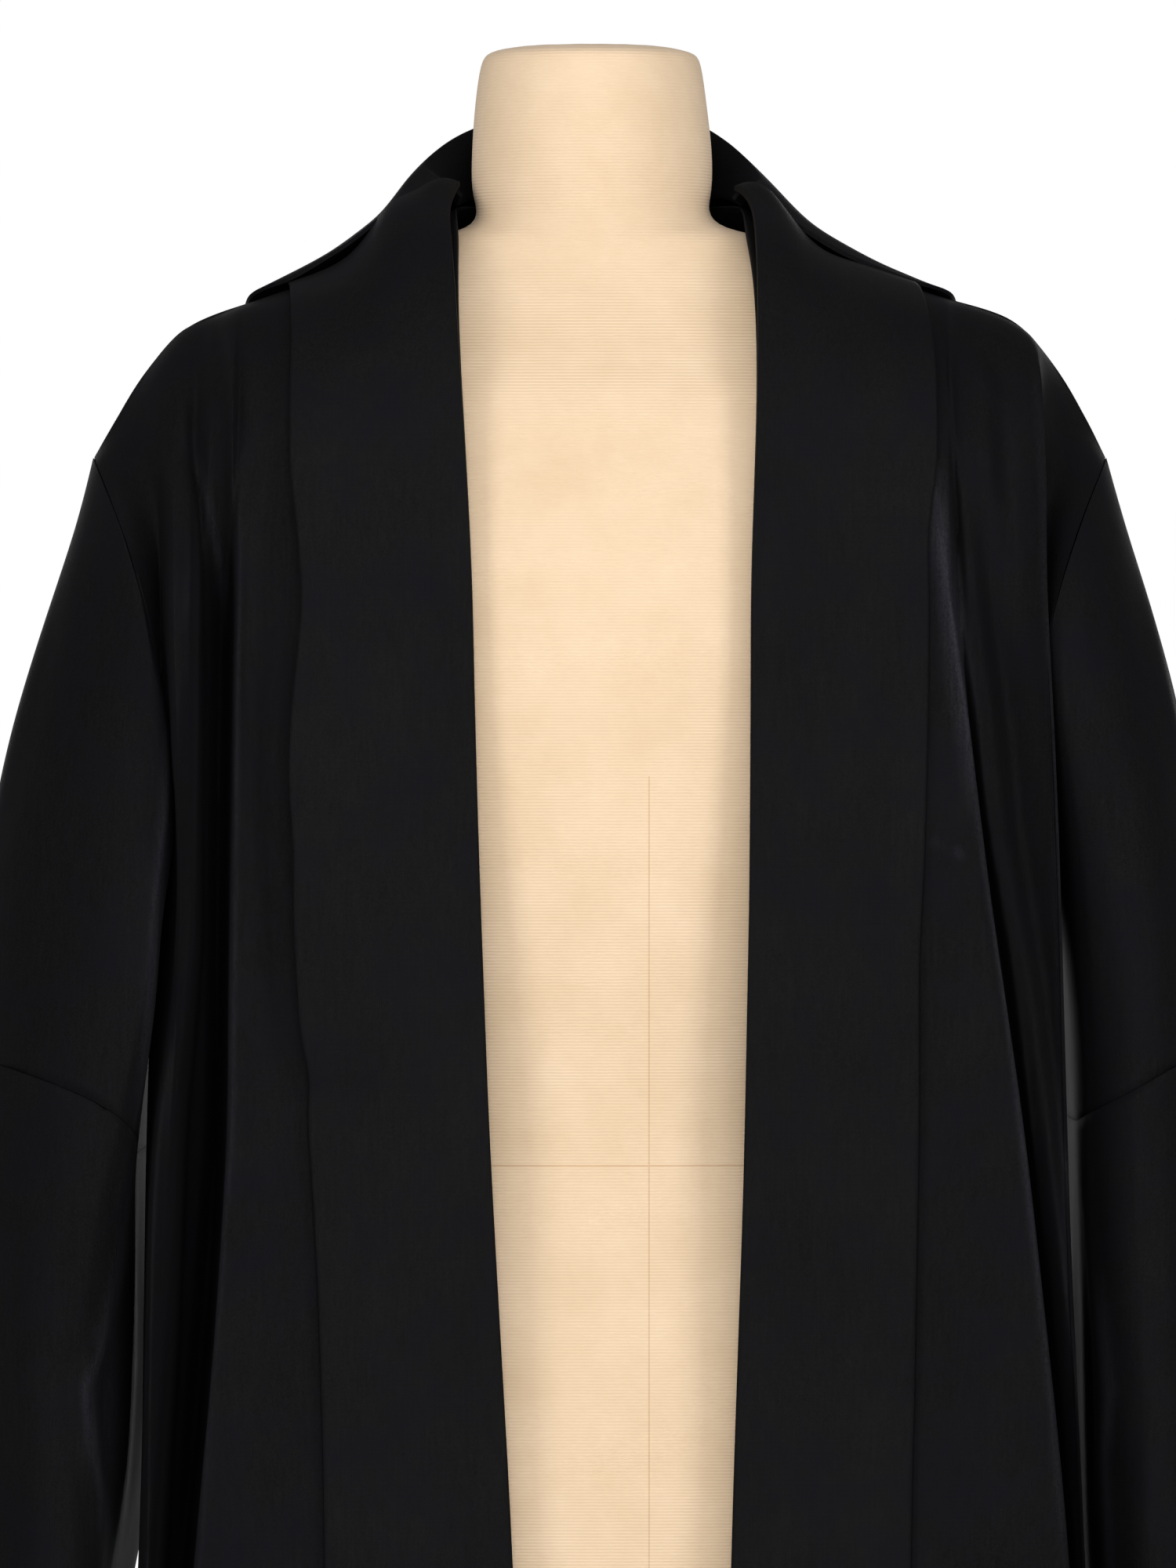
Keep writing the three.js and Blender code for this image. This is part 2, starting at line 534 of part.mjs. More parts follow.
// Grid of the back panel, hem first, from the left side seam to the right one.
function backGrid() {
  const half = (side) => {
    const edge = outerEdge(side, false);
    const heights = [STATIONS.waist, STATIONS.rib, STATIONS.chest];
    return BACK_LINES.map((line) => {
      const placeAt = (z) => [
        line.out * readTable(BACK_PLAN, 'z', sideName(side), z),
        readTable(BACK_PLAN, 'z', 'depth', z) * smoothLine(heights, [line.waist, line.rib, line.chest], z),
      ];
      const turn = Math.asin(Math.min(1, line.top / NECK_SIDE_X));
      const atNeck = line.top < NECK_SIDE_X;
      const top = {
        x: line.top,
        y: atNeck ? NECK_BACK.y * Math.cos(turn) : 0,
        z: atNeck ? NECK_SIDE_Z + NECK_BACK.rise * Math.cos(turn) : ridgeHeight(side, line.top),
      };
      return panelLine(side, edge, line.at / BACK_HALF_COLUMNS, top, 0, placeAt);
    });
  };
  const places = [0];
  const tracks = [outerEdge(LEFT, false)];
  half(LEFT).reverse().forEach((track, i) => {
    places.push(BACK_HALF_COLUMNS - BACK_LINES[BACK_LINES.length - 1 - i].at);
    tracks.push(track);
  });
  half(RIGHT).slice(1).forEach((track, i) => {
    places.push(BACK_HALF_COLUMNS + BACK_LINES[i + 1].at);
    tracks.push(track);
  });
  places.push(2 * BACK_HALF_COLUMNS);
  tracks.push(outerEdge(RIGHT, false));
  const grid = gridFromTracks(places, tracks, 2 * BACK_HALF_COLUMNS);
  roundNeckline(grid[grid.length - 1]);
  addPleats(grid);
  return grid;
}

// Puts the top row's neck points on the round neckline.
function roundNeckline(row) {
  row.forEach((p) => {
    if (Math.abs(p.x) >= NECK_SIDE_X) return;
    const cos = Math.sqrt(1 - (p.x / NECK_SIDE_X) ** 2);
    p.y = NECK_BACK.y * cos;
    p.z = NECK_SIDE_Z + NECK_BACK.rise * cos;
  });
}

// Moves the back's points out and in along its soft pleats, below the chest.
function addPleats(grid) {
  grid.forEach((row) => {
    const before = row.map((p) => p.clone());
    row.forEach((p, c) => {
      if (c === 0 || c === row.length - 1 || p.z > CHEST_Z) return;
      const wave = BACK_PLEATS.reduce((sum, pleat) => (
        sum + pleat.out * Math.exp(-(((c - pleat.at) / pleat.width) ** 2))
      ), 0);
      const along = before[c + 1].clone().sub(before[c - 1]);
      const out = new THREE.Vector3(along.y, -along.x, 0).normalize().negate();
      p.addScaledVector(out, wave * readTable(BACK_PLAN, 'z', 'pleat', p.z));
    });
  });
}

// The point of the upright axis level with p.
const fromMiddle = (p) => new THREE.Vector3(0, 0, p.z);

// Lays the wall's direction in the plane of a seam that runs in the plane y = 0.
function flattenWay(n) {
  n.y = 0;
  n.normalize();
}

// Gives two pieces one shared way through their walls at a point of their seam.
function shareWay(a, b) {
  if (a.dot(b) < SHARED_WAY_LEAST) return;
  const mean = a.clone().add(b).normalize();
  a.copy(mean);
  b.copy(mean);
}

// All of the body and sleeve grids with their normals. They are made together, as they share seams.
function makeBody() {
  const pieces = { back: { grid: backGrid() } };
  for (const side of [LEFT, RIGHT]) {
    pieces[`front_${sideName(side)}`] = { grid: frontGrid(side) };
    const rings = [];
    const lastRow = SLEEVE_LEFT_RINGS[SLEEVE_LEFT_RINGS.length - 1].at;
    for (let row = 0; row <= lastRow; row += 1) rings.push(sleeveRing(side, row));
    pieces[`sleeve_${sideName(side)}`] = { grid: rings, closed: true };
  }
  for (const [name, piece] of Object.entries(pieces)) {
    const normals = gridNormals(piece.grid, piece.closed);
    const centres = piece.grid.map((row) => row.reduce((sum, p) => sum.add(p), new THREE.Vector3())
      .divideScalar(row.length));
    piece.normals = faceOut(piece.grid, normals, piece.closed ? (p, r) => centres[r] : fromMiddle);
    piece.name = name;
  }
  joinSeams(pieces);
  return pieces;
}

// Fits the pieces to each other along the side, shoulder and armhole seams, a seam gap apart.
function joinSeams(pieces) {
  const { back } = pieces;
  const underarm = ROWS_BELOW.length - 1;
  const topRow = back.grid.length - 1;
  for (const side of [LEFT, RIGHT]) {
    const front = pieces[`front_${sideName(side)}`];
    const sleeve = pieces[`sleeve_${sideName(side)}`];
    const backColumn = side === LEFT ? 0 : 2 * BACK_HALF_COLUMNS;
    for (let r = 0; r <= underarm; r += 1) {
      flattenWay(front.normals[r][FRONT_COLUMNS]);
      flattenWay(back.normals[r][backColumn]);
      front.grid[r][FRONT_COLUMNS].y -= SEAM_GAP / 2;
      back.grid[r][backColumn].y += SEAM_GAP / 2;
    }
    for (let c = 0; c <= FRONT_COLUMNS; c += 1) {
      flattenWay(front.normals[topRow][c]);
      front.grid[topRow][c].y -= SEAM_GAP / 2;
    }
    const ringCount = 2 * ARMHOLE_STEPS;
    for (let k = 1; k < ARMHOLE_STEPS; k += 1) {
      shareWay(front.normals[underarm + k][FRONT_COLUMNS], sleeve.normals[0][ARMHOLE_STEPS - k]);
      shareWay(back.normals[underarm + k][backColumn], sleeve.normals[0][ringCount - ARMHOLE_STEPS + k]);
    }
    const shoulder = front.normals[topRow][FRONT_COLUMNS];
    shareWay(shoulder, sleeve.normals[0][0]);
    flattenWay(sleeve.normals[0][0]);
    shoulder.copy(sleeve.normals[0][0]);
    back.normals[topRow][backColumn].copy(shoulder);
    back.grid[topRow][backColumn].y += SEAM_GAP / 2;
    sleeve.grid[0].forEach((p) => {
      p.x += side * 2 * SEAM_GAP;
      p.z -= SEAM_GAP;
    });
  }
  back.grid[topRow].forEach((p, c) => {
    if (Math.abs(p.x) < NECK_SIDE_X || c === 0 || c === 2 * BACK_HALF_COLUMNS) return;
    flattenWay(back.normals[topRow][c]);
    p.y += SEAM_GAP / 2;
  });
}

function bodyMeshes(pieces) {
  const made = ['front_left', 'front_right', 'back'].map((name) => (
    mesh(name, clothWall(pieces[name].grid, pieces[name].normals), CLOTH_FINISH)
  ));
  for (const side of [LEFT, RIGHT]) {
    const { grid, normals } = pieces[`sleeve_${sideName(side)}`];
    const upper = grid.slice(0, CROSS_SEAM_ROW + 1).map((row) => row.map((p) => p.clone()));
    const lower = grid.slice(CROSS_SEAM_ROW).map((row) => row.map((p) => p.clone()));
    upper[CROSS_SEAM_ROW].forEach((p, c) => pullBack(p, upper[CROSS_SEAM_ROW - 1][c], SEAM_GAP / 2));
    lower[0].forEach((p, c) => pullBack(p, lower[1][c], SEAM_GAP / 2));
    const name = sideName(side);
    made.push(mesh(`sleeve_upper_${name}`, clothWall(upper, normals.slice(0, CROSS_SEAM_ROW + 1), true),
      CLOTH_FINISH));
    made.push(mesh(`sleeve_lower_${name}`, clothWall(lower, normals.slice(CROSS_SEAM_ROW), true),
      CLOTH_FINISH));
  }
  return made;
}

// The band lies on the front panel's points, moved out, and rises into the collar at the neck.
function bandMesh(side, front) {
  const rise = BAND_RISE[sideName(side)];
  const topRow = front.grid.length - 1;
  const grid = front.grid.map((row) => row.slice(0, BAND_COLUMNS + 1));
  const lift = (r, c) => {
    const share = c / BAND_COLUMNS;
    const clear = THREE.MathUtils.lerp(BAND_CLEAR.inner, BAND_CLEAR.outer, share ** 2);
    const climb = THREE.MathUtils.smoothstep(r, topRow - BAND_RISE_ROWS, topRow);
    const x = Math.abs(grid[r][c].x);
    const swell = Math.max(
      rise.high * Math.exp(-(((x - rise.x) / rise.width) ** 2)),
      rise.inner * (c === 0 ? 1 : 0),
    );
    return CLOTH + clear * (1 - climb) + climb * Math.max(swell, BAND_RISE_LEAST);
  };
  const normals = front.normals.map((row) => row.slice(0, BAND_COLUMNS + 1));
  const outer = movedOut(grid, normals, lift);
  const own = faceOut(outer, gridNormals(outer, false), fromMiddle);
  outer[topRow].forEach((p, c) => {
    p.y = GORGE_Y - SEAM_GAP / 2;
    flattenWay(own[topRow][c]);
  });
  return mesh(`revers_${sideName(side)}`, clothWall(outer, own), BAND_FINISH);
}

// The collar runs from one gorge round the neck to the other.
function collarMesh() {
  const sections = [
    ...COLLAR_LEFT.map((row) => ({ ...row, side: LEFT })),
    { ...COLLAR_MIDDLE, at: COLLAR_HALF_STEPS, side: RIGHT },
    ...[...COLLAR_RIGHT].reverse().map((row) => ({ ...row, at: 2 * COLLAR_HALF_STEPS - row.at, side: RIGHT })),
  ];
  const places = sections.map((section) => section.at);
  const tracks = COLLAR_ACROSS.map(({ part }) => {
    const points = sections.map((section) => new THREE.Vector3(
      section.side * section[part][0], section[part][1], section[part][2],
    ));
    const track = [];
    for (let s = 0; s <= 2 * COLLAR_HALF_STEPS; s += 1) track.push(pointBetween(places, points, s));
    return track;
  });
  const across = COLLAR_ACROSS.map(({ at }) => at);
  const grid = gridFromTracks(across, tracks, across[across.length - 1]);
  const normals = gridNormals(grid, false);
  const fallFacesOut = grid.reduce((sum, row, r) => row.slice(COLLAR_FALL).reduce((part, p, c) => (
    part + normals[r][c + COLLAR_FALL].dot(p.clone().sub(COLLAR_INSIDE))
  ), sum), 0);
  if (fallFacesOut < 0) normals.forEach((row) => row.forEach((n) => n.negate()));
  for (const end of [0, grid.length - 1]) {
    grid[end].forEach((p, c) => {
      p.y = GORGE_Y + SEAM_GAP / 2;
      flattenWay(normals[end][c]);
    });
  }
  return mesh('collar_back', clothWall(grid, normals), CLOTH_FINISH);
}

// A ring of the form: a rounded shape with its own depth in front and behind.
function formRing(ring) {
  const points = [];
  const half = ring.under ?? ring.half;
  const z = ring.under ? ridgeHeight(LEFT, ring.under) - SHOULDER_CLEAR : ring.z;
  for (let k = 0; k < FORM_AROUND; k += 1) {
    const turn = (2 * Math.PI * k) / FORM_AROUND;
    const rounded = (value) => Math.sign(value) * Math.abs(value) ** (2 / ring.power);
    const depth = Math.sin(turn) > 0 ? ring.back : ring.front;
    points.push([ring.middle + half * rounded(Math.cos(turn)), depth * rounded(Math.sin(turn)), z]);
  }
  return points;
}

function socketRing(radius, z) {
  const points = [];
  for (let k = 0; k < FORM_AROUND; k += 1) {
    const turn = (2 * Math.PI * k) / FORM_AROUND;
    points.push([radius * Math.cos(turn), radius * Math.sin(turn), z]);
  }
  return points;
}

// The form is one closed body with a blind socket for the pole in its underside.
function formMesh() {
  const rings = [
    socketRing(SOCKET_RADIUS, FORM_SOCKET_TOP),
    socketRing(SOCKET_RADIUS, FORM_RINGS[0].z),
    ...FORM_RINGS.map(formRing),
  ];
  const positions = rings.flat(2);
  const count = rings.length;
  const faces = [];
  for (let r = 0; r < count - 1; r += 1) {
    for (let k = 0; k < FORM_AROUND; k += 1) {
      const a = r * FORM_AROUND + k;
      const b = r * FORM_AROUND + ((k + 1) % FORM_AROUND);
      faces.push(a, b, b + FORM_AROUND, a, b + FORM_AROUND, a + FORM_AROUND);
    }
  }
  const neckTop = FORM_RINGS[FORM_RINGS.length - 1];
  const capEnds = [
    { first: 0, centre: [0, 0, FORM_SOCKET_TOP], flip: true },
    { first: (count - 1) * FORM_AROUND, centre: [neckTop.middle, 0, neckTop.z + NECK_CAP_RISE], flip: false },
  ];
  capEnds.forEach(({ first, centre, flip }) => {
    const hub = positions.length / 3;
    positions.push(...centre);
    for (let k = 0; k < FORM_AROUND; k += 1) {
      const a = first + k;
      const b = first + ((k + 1) % FORM_AROUND);
      faces.push(...(flip ? [hub, b, a] : [hub, a, b]));
    }
  });
  return mesh('form_torso', solidGeometry(positions, faces), JERSEY_FINISH);
}

// The base is turned from one profile of radius and height, and the pole stands in its hub.
function standMeshes() {
  const profile = [
    [0, 0],
    [BASE.radius - BASE.foot, 0],
    [BASE.radius, BASE.foot],
    [BASE.radius, BASE.edge - BASE.round],
    [BASE.radius - BASE.round, BASE.edge],
    [BASE.radius * BASE.slope.share, BASE.edge + (BASE.dome - BASE.edge) * BASE.slope.rise],
    [BASE.hubRadius + BASE.domeReach, BASE.dome],
    [BASE.hubRadius, BASE.dome + BASE.hubFoot],
    [BASE.hubRadius, BASE.hubTop - BASE.hubRound],
    [BASE.hubRadius - BASE.hubRound, BASE.hubTop],
    [SOCKET_RADIUS, BASE.hubTop],
    [SOCKET_RADIUS, BASE.socketFloor],
    [0, BASE.socketFloor],
  ].map(([r, z]) => new THREE.Vector2(r, z));
  const base = uprightGeometry(new THREE.LatheGeometry(profile, BASE.sides));
  const pole = uprightGeometry(new THREE.CylinderGeometry(POLE.radius, POLE.radius, POLE.top - POLE.bottom,
    POLE.sides));
  pole.translate(0, 0, (POLE.top + POLE.bottom) / 2);
  return [
    mesh('stand_base', base, STEEL_FINISH),
    mesh('stand_pole', pole, STEEL_FINISH),
  ];
}

// Turns a geometry made round the Y axis to stand along Z, with its points merged.
function uprightGeometry(geometry) {
  geometry.deleteAttribute('normal');
  geometry.deleteAttribute('uv');
  geometry.rotateX(Math.PI / 2);
  return mergeVertices(geometry, SAME_POINT);
}

const gown = new THREE.Group();
const body = makeBody();
gown.add(...bodyMeshes(body));
gown.add(bandMesh(LEFT, body.front_left));
gown.add(bandMesh(RIGHT, body.front_right));
gown.add(collarMesh());
gown.add(formMesh());
gown.add(...standMeshes());

export default gown;
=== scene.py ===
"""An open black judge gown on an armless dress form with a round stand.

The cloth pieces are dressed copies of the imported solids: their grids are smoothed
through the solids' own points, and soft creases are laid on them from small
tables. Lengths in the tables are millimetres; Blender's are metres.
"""
import json
import logging
import math
from dataclasses import dataclass, field
from enum import Enum
from typing import Callable, Sequence

import bmesh
import bpy
import numpy as np
from bpy.types import Material, Mesh, Modifier, Node, NodeSocket, NodeTree, Object
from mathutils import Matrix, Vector, noise

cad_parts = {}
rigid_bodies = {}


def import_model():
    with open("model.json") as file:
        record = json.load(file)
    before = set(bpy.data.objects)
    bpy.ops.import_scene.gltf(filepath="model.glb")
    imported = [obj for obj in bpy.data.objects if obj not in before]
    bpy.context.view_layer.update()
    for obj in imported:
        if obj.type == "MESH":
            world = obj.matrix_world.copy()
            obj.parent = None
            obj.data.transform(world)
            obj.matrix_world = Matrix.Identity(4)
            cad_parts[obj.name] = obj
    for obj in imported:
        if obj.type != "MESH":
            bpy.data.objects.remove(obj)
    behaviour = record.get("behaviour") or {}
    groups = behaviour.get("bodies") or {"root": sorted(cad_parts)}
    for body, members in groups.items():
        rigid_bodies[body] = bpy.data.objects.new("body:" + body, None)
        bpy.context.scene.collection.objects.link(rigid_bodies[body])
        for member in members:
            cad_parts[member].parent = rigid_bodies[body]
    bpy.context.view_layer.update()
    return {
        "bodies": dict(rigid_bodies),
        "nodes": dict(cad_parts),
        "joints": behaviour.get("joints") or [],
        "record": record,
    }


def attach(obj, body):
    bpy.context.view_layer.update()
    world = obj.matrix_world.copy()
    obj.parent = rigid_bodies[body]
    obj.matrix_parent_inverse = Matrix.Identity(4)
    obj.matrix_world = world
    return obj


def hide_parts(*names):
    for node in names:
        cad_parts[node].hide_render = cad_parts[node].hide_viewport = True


log = logging.getLogger("gown")

MM = 0.001
# Points nearer than this belong together, in metres.
SAME_POINT = 1e-5
# Two triangles make one quad where they bend and skew less than this, in degrees.
JOIN_BEND = 100
JOIN_SKEW = 120
JOIN_BY_NEIGHBOURS = 1.5
# A rim's edge is sharper than this angle and bounds a face no wider than the wall, in metres.
RIM_ANGLE = 50
RIM_WIDTH = 0.0032
# A fold sharper than the first angle is held a little, and held fully from the second on.
FOLD_ANGLE = 24
FULL_FOLD_ANGLE = 70
FOLD_SHARPNESS = 0.6
# Edges sharper than this stay sharp in the shading.
SHADE_ANGLE = 50
# Share of the gap that each round of fitting closes.
FIT_STEP = 0.85
# Longest edge that stays whole before the creases are laid on, in millimetres.
LONGEST_EDGE = 14.0
# Slow waves are longer down the cloth than across it: heights count this much.
WAVE_DOWN = 0.6
# Name of the attribute that holds the painted highlights along the fold edges.
PAINTED_HIGHLIGHT_NAME = "painted_highlight"
# Creases fade out over this depth before the gown's middle plane, in millimetres.
MIDDLE_FADE = 30.0
# How creases and painted highlight streaks begin: how far into the half wave, and how blunt they are there.
CREASE_ENDS = (0.03, 0.7)
PAINTED_HIGHLIGHT_ENDS = (0.02, 0.6)
# A fold's lip stands this far before the edge and is this wide, in millimetres.
LIP_BEFORE = 2.0
LIP_WIDTH = 3.0
# The bands begin to swing this far from the middle, and swing fully this much farther out, in millimetres.
BAND_ROOT = 75.0
BAND_REACH = 80.0


class Side(Enum):
    """Side of the gown as the photograph shows it."""

    LEFT = -1
    RIGHT = 1


class Facing(Enum):
    """The way a crease pushes the cloth."""

    FRONT = (0.0, -1.0, 0.0)
    BACK = (0.0, 1.0, 0.0)
    LEFT = (-1.0, 0.0, 0.0)
    RIGHT = (1.0, 0.0, 0.0)


def linear(hex_colour: str) -> tuple[float, float, float, float]:
    """Turns an sRGB colour into the linear one that Blender reads.

    Args:
        hex_colour: Six hex digits after a number sign.

    Returns:
        Red, green, blue and alpha, linear.
    """
    parts = [int(hex_colour[i:i + 2], 16) / 255 for i in (1, 3, 5)]
    bent = [p / 12.92 if p <= 0.04045 else ((p + 0.055) / 1.055) ** 2.4 for p in parts]
    return (bent[0], bent[1], bent[2], 1.0)


def add_node(
    tree: NodeTree,
    kind: str,
    settings: dict | None = None,
    inputs: dict | None = None,
    links: dict | None = None,
) -> Node:
    """Adds one node with its settings, its input values and the links into it.

    Args:
        tree: The node tree.
        kind: Type name of the node.
        settings: Node properties by name.
        inputs: Input values by socket name or number.
        links: Output sockets by the input's name or number.

    Returns:
        The new node.
    """
    node = tree.nodes.new(kind)
    for name, value in (settings or {}).items():
        setattr(node, name, value)
    for name, value in (inputs or {}).items():
        node.inputs[name].default_value = value
    for name, socket in (links or {}).items():
        tree.links.new(socket, node.inputs[name])
    return node


@dataclass(frozen=True)
class Finish:
    """What every finish shares: a name, and a shader set up on its own sockets."""

    name: str

    def start(self) -> tuple[Material, NodeTree, Node]:
        """Makes the empty material.

        Returns:
            The material, its node tree and its shader node.
        """
        material = bpy.data.materials.new(self.name)
        material.use_nodes = True
        tree = material.node_tree
        tree.nodes.clear()
        shader = add_node(tree, "ShaderNodeBsdfPrincipled")
        add_node(tree, "ShaderNodeOutputMaterial", links={"Surface": shader.outputs[0]})
        return material, tree, shader

    def coordinates(self, tree: NodeTree, scale: Sequence[float] = (1.0, 1.0, 1.0)) -> Node:
        """Object coordinates, stretched by scale."""
        place = add_node(tree, "ShaderNodeTexCoord")
        return add_node(
            tree,
            "ShaderNodeMapping",
            inputs={"Scale": scale},
            links={"Vector": place.outputs["Object"]},
        )

    def clouds(
        self, tree: NodeTree, place: Node, scale: float, detail: float, rough: float = 0.5
    ) -> Node:
        """A cloudy pattern; rough says how strong its finer clouds are."""
        return add_node(
            tree,
            "ShaderNodeTexNoise",
            inputs={"Scale": scale, "Detail": detail, "Roughness": rough},
            links={"Vector": place.outputs[0]},
        )

    def bands(self, tree: NodeTree, place: Node, way: str, apart: float, waver: float) -> Node:
        """Soft bands across the named axis, about apart millimetres from one to the next."""
        return add_node(
            tree,
            "ShaderNodeTexWave",
            settings={"wave_type": "BANDS", "bands_direction": way, "wave_profile": "SIN"},
            inputs={"Scale": 1 / (apart * MM) / math.tau * 2, "Distortion": waver, "Detail": 1.0},
            links={"Vector": place.outputs[0]},
        )

    def ramp(
        self,
        tree: NodeTree,
        factor: Node,
        dark: tuple[float, str],
        light: tuple[float, str],
    ) -> Node:
        """A colour that goes from dark to light, each given by its position and its tone."""
        colour = add_node(tree, "ShaderNodeValToRGB", links={0: factor.outputs[0]})
        for stop, (position, tone) in zip(colour.color_ramp.elements, (dark, light)):
            stop.position = position
            stop.color = linear(tone)
        return colour

    def spread(self, tree: NodeTree, value: Node, span: Sequence[float], goal: Sequence[float]) -> Node:
        """The value moved from the span to the goal, and held inside it."""
        return add_node(
            tree,
            "ShaderNodeMapRange",
            inputs={1: span[0], 2: span[1], 3: goal[0], 4: goal[1]},
            links={0: value.outputs[0]},
        )

    def maths(self, tree: NodeTree, operation: str, links: dict, inputs: dict | None = None) -> Node:
        """A sum of one operation."""
        return add_node(
            tree, "ShaderNodeMath", settings={"operation": operation}, inputs=inputs, links=links
        )

    def blend(self, tree: NodeTree, first: Node, second: Node) -> Node:
        """Half of each of two values."""
        return add_node(
            tree,
            "ShaderNodeMix",
            settings={"data_type": "FLOAT"},
            inputs={0: 0.5},
            links={2: first.outputs[0], 3: second.outputs[0]},
        )

    def toned(self, tree: NodeTree, share: Node, colour: NodeSocket, tone: str, way: str = "MIX") -> Node:
        """The colour with a share of the tone blended in."""
        return add_node(
            tree,
            "ShaderNodeMix",
            settings={"data_type": "RGBA", "blend_type": way},
            inputs={7: linear(tone)},
            links={0: share.outputs[0], 6: colour},
        )

    def bump(
        self,
        tree: NodeTree,
        height: NodeSocket,
        strength: float,
        depth: float,
        under: Node | None = None,
    ) -> Node:
        """Relief of a depth in millimetres, laid over another where under gives it."""
        links = {"Height": height}
        if under:
            links["Normal"] = under.outputs[0]
        return add_node(
            tree, "ShaderNodeBump", inputs={"Strength": strength, "Distance": depth * MM}, links=links
        )


@dataclass(frozen=True)
class GownCloth(Finish):
    """Fine black worsted: plain weave, lightly pressed, with slubs that run down the cloth.

    The pressed face gives it a soft lustre in upright streaks, and its nap a faint sheen
    where it turns away.
    """

    dark: str = "#0a0a0a"
    light: str = "#121213"
    cool: str = "#0e0e13"
    # Tone of the painted highlights that lighten the fold edges.
    highlight_paint: str = "#2c2c32"
    sheen_tint: str = "#b8b8c0"
    roughness: float = 0.66
    roughness_spread: float = 0.05
    sheen: float = 0.012
    sheen_roughness: float = 0.45
    ior: float = 1.1
    # Slubs are about 0.9 mm wide and 9 mm long.
    slub_width: float = 0.9
    slub_length: float = 9.0
    # Threads lie 0.35 mm apart. That is under a pixel here, so they are drawn 1.1 mm apart.
    thread: float = 1.1
    # How many pale patches and cool ones lie in a metre of cloth.
    patches: float = 17.0
    tints: float = 26.0

    def make(self) -> Material:
        """Builds the material."""
        material, tree, shader = self.start()
        across = 1 / (self.slub_width * MM)
        slub_place = self.coordinates(tree, (across, across, 1 / (self.slub_length * MM)))
        slub = self.clouds(tree, slub_place, 0.5, 4.0, 0.65)
        grain_place = self.coordinates(tree, (1.0, 1.0, 0.8))
        grain = self.clouds(tree, grain_place, 1 / (self.thread * MM), 3.0, 0.7)
        patch_place = self.coordinates(tree, (1.0, 1.0, 0.6))
        patch = self.clouds(tree, patch_place, self.patches, 8.0, 0.68)
        place = self.coordinates(tree)
        tint = self.clouds(tree, place, self.tints, 8.0, 0.7)
        both = self.blend(tree, slub, patch)
        speckled = self.blend(tree, both, grain)
        colour = self.ramp(tree, speckled, (0.37, self.dark), (0.63, self.light))
        cooler = self.spread(tree, tint, (0.46, 0.6), (0.0, 0.7))
        tinted = self.toned(tree, cooler, colour.outputs[0], self.cool)
        # Painted highlights: where the attribute marks a fold's edge, the colour is lightened towards the
        # highlight tone, broken up by the speckle.
        highlight_paint = add_node(tree, "ShaderNodeAttribute", settings={"attribute_name": PAINTED_HIGHLIGHT_NAME})
        streaks = self.spread(tree, speckled, (0.36, 0.62), (0.15, 1.0))
        shine = self.maths(tree, "MULTIPLY", {0: highlight_paint.outputs["Fac"], 1: streaks.outputs[0]})
        painted_highlight_mix = self.toned(tree, shine, tinted.outputs[2], self.highlight_paint)
        tree.links.new(painted_highlight_mix.outputs[2], shader.inputs["Base Color"])
        roughest = self.roughness + self.roughness_spread
        rough = self.spread(tree, both, (0.3, 0.7), (roughest, self.roughness - self.roughness_spread))
        tree.links.new(rough.outputs[0], shader.inputs["Roughness"])
        warp, weft = [self.bands(tree, place, way, self.thread, 1.2) for way in ("X", "Z")]
        weave = self.maths(tree, "MULTIPLY", {0: warp.outputs[1], 1: weft.outputs[1]})
        weave_bump = self.bump(tree, weave.outputs[0], 0.22, 0.15)
        slub_bump = self.bump(tree, slub.outputs[0], 0.2, 0.3, weave_bump)
        tree.links.new(slub_bump.outputs[0], shader.inputs["Normal"])
        shader.inputs["Sheen Weight"].default_value = self.sheen
        shader.inputs["Sheen Roughness"].default_value = self.sheen_roughness
        shader.inputs["Sheen Tint"].default_value = linear(self.sheen_tint)
        shader.inputs["IOR"].default_value = self.ior
        shader.inputs["Specular IOR Level"].default_value = 0.5
        return material


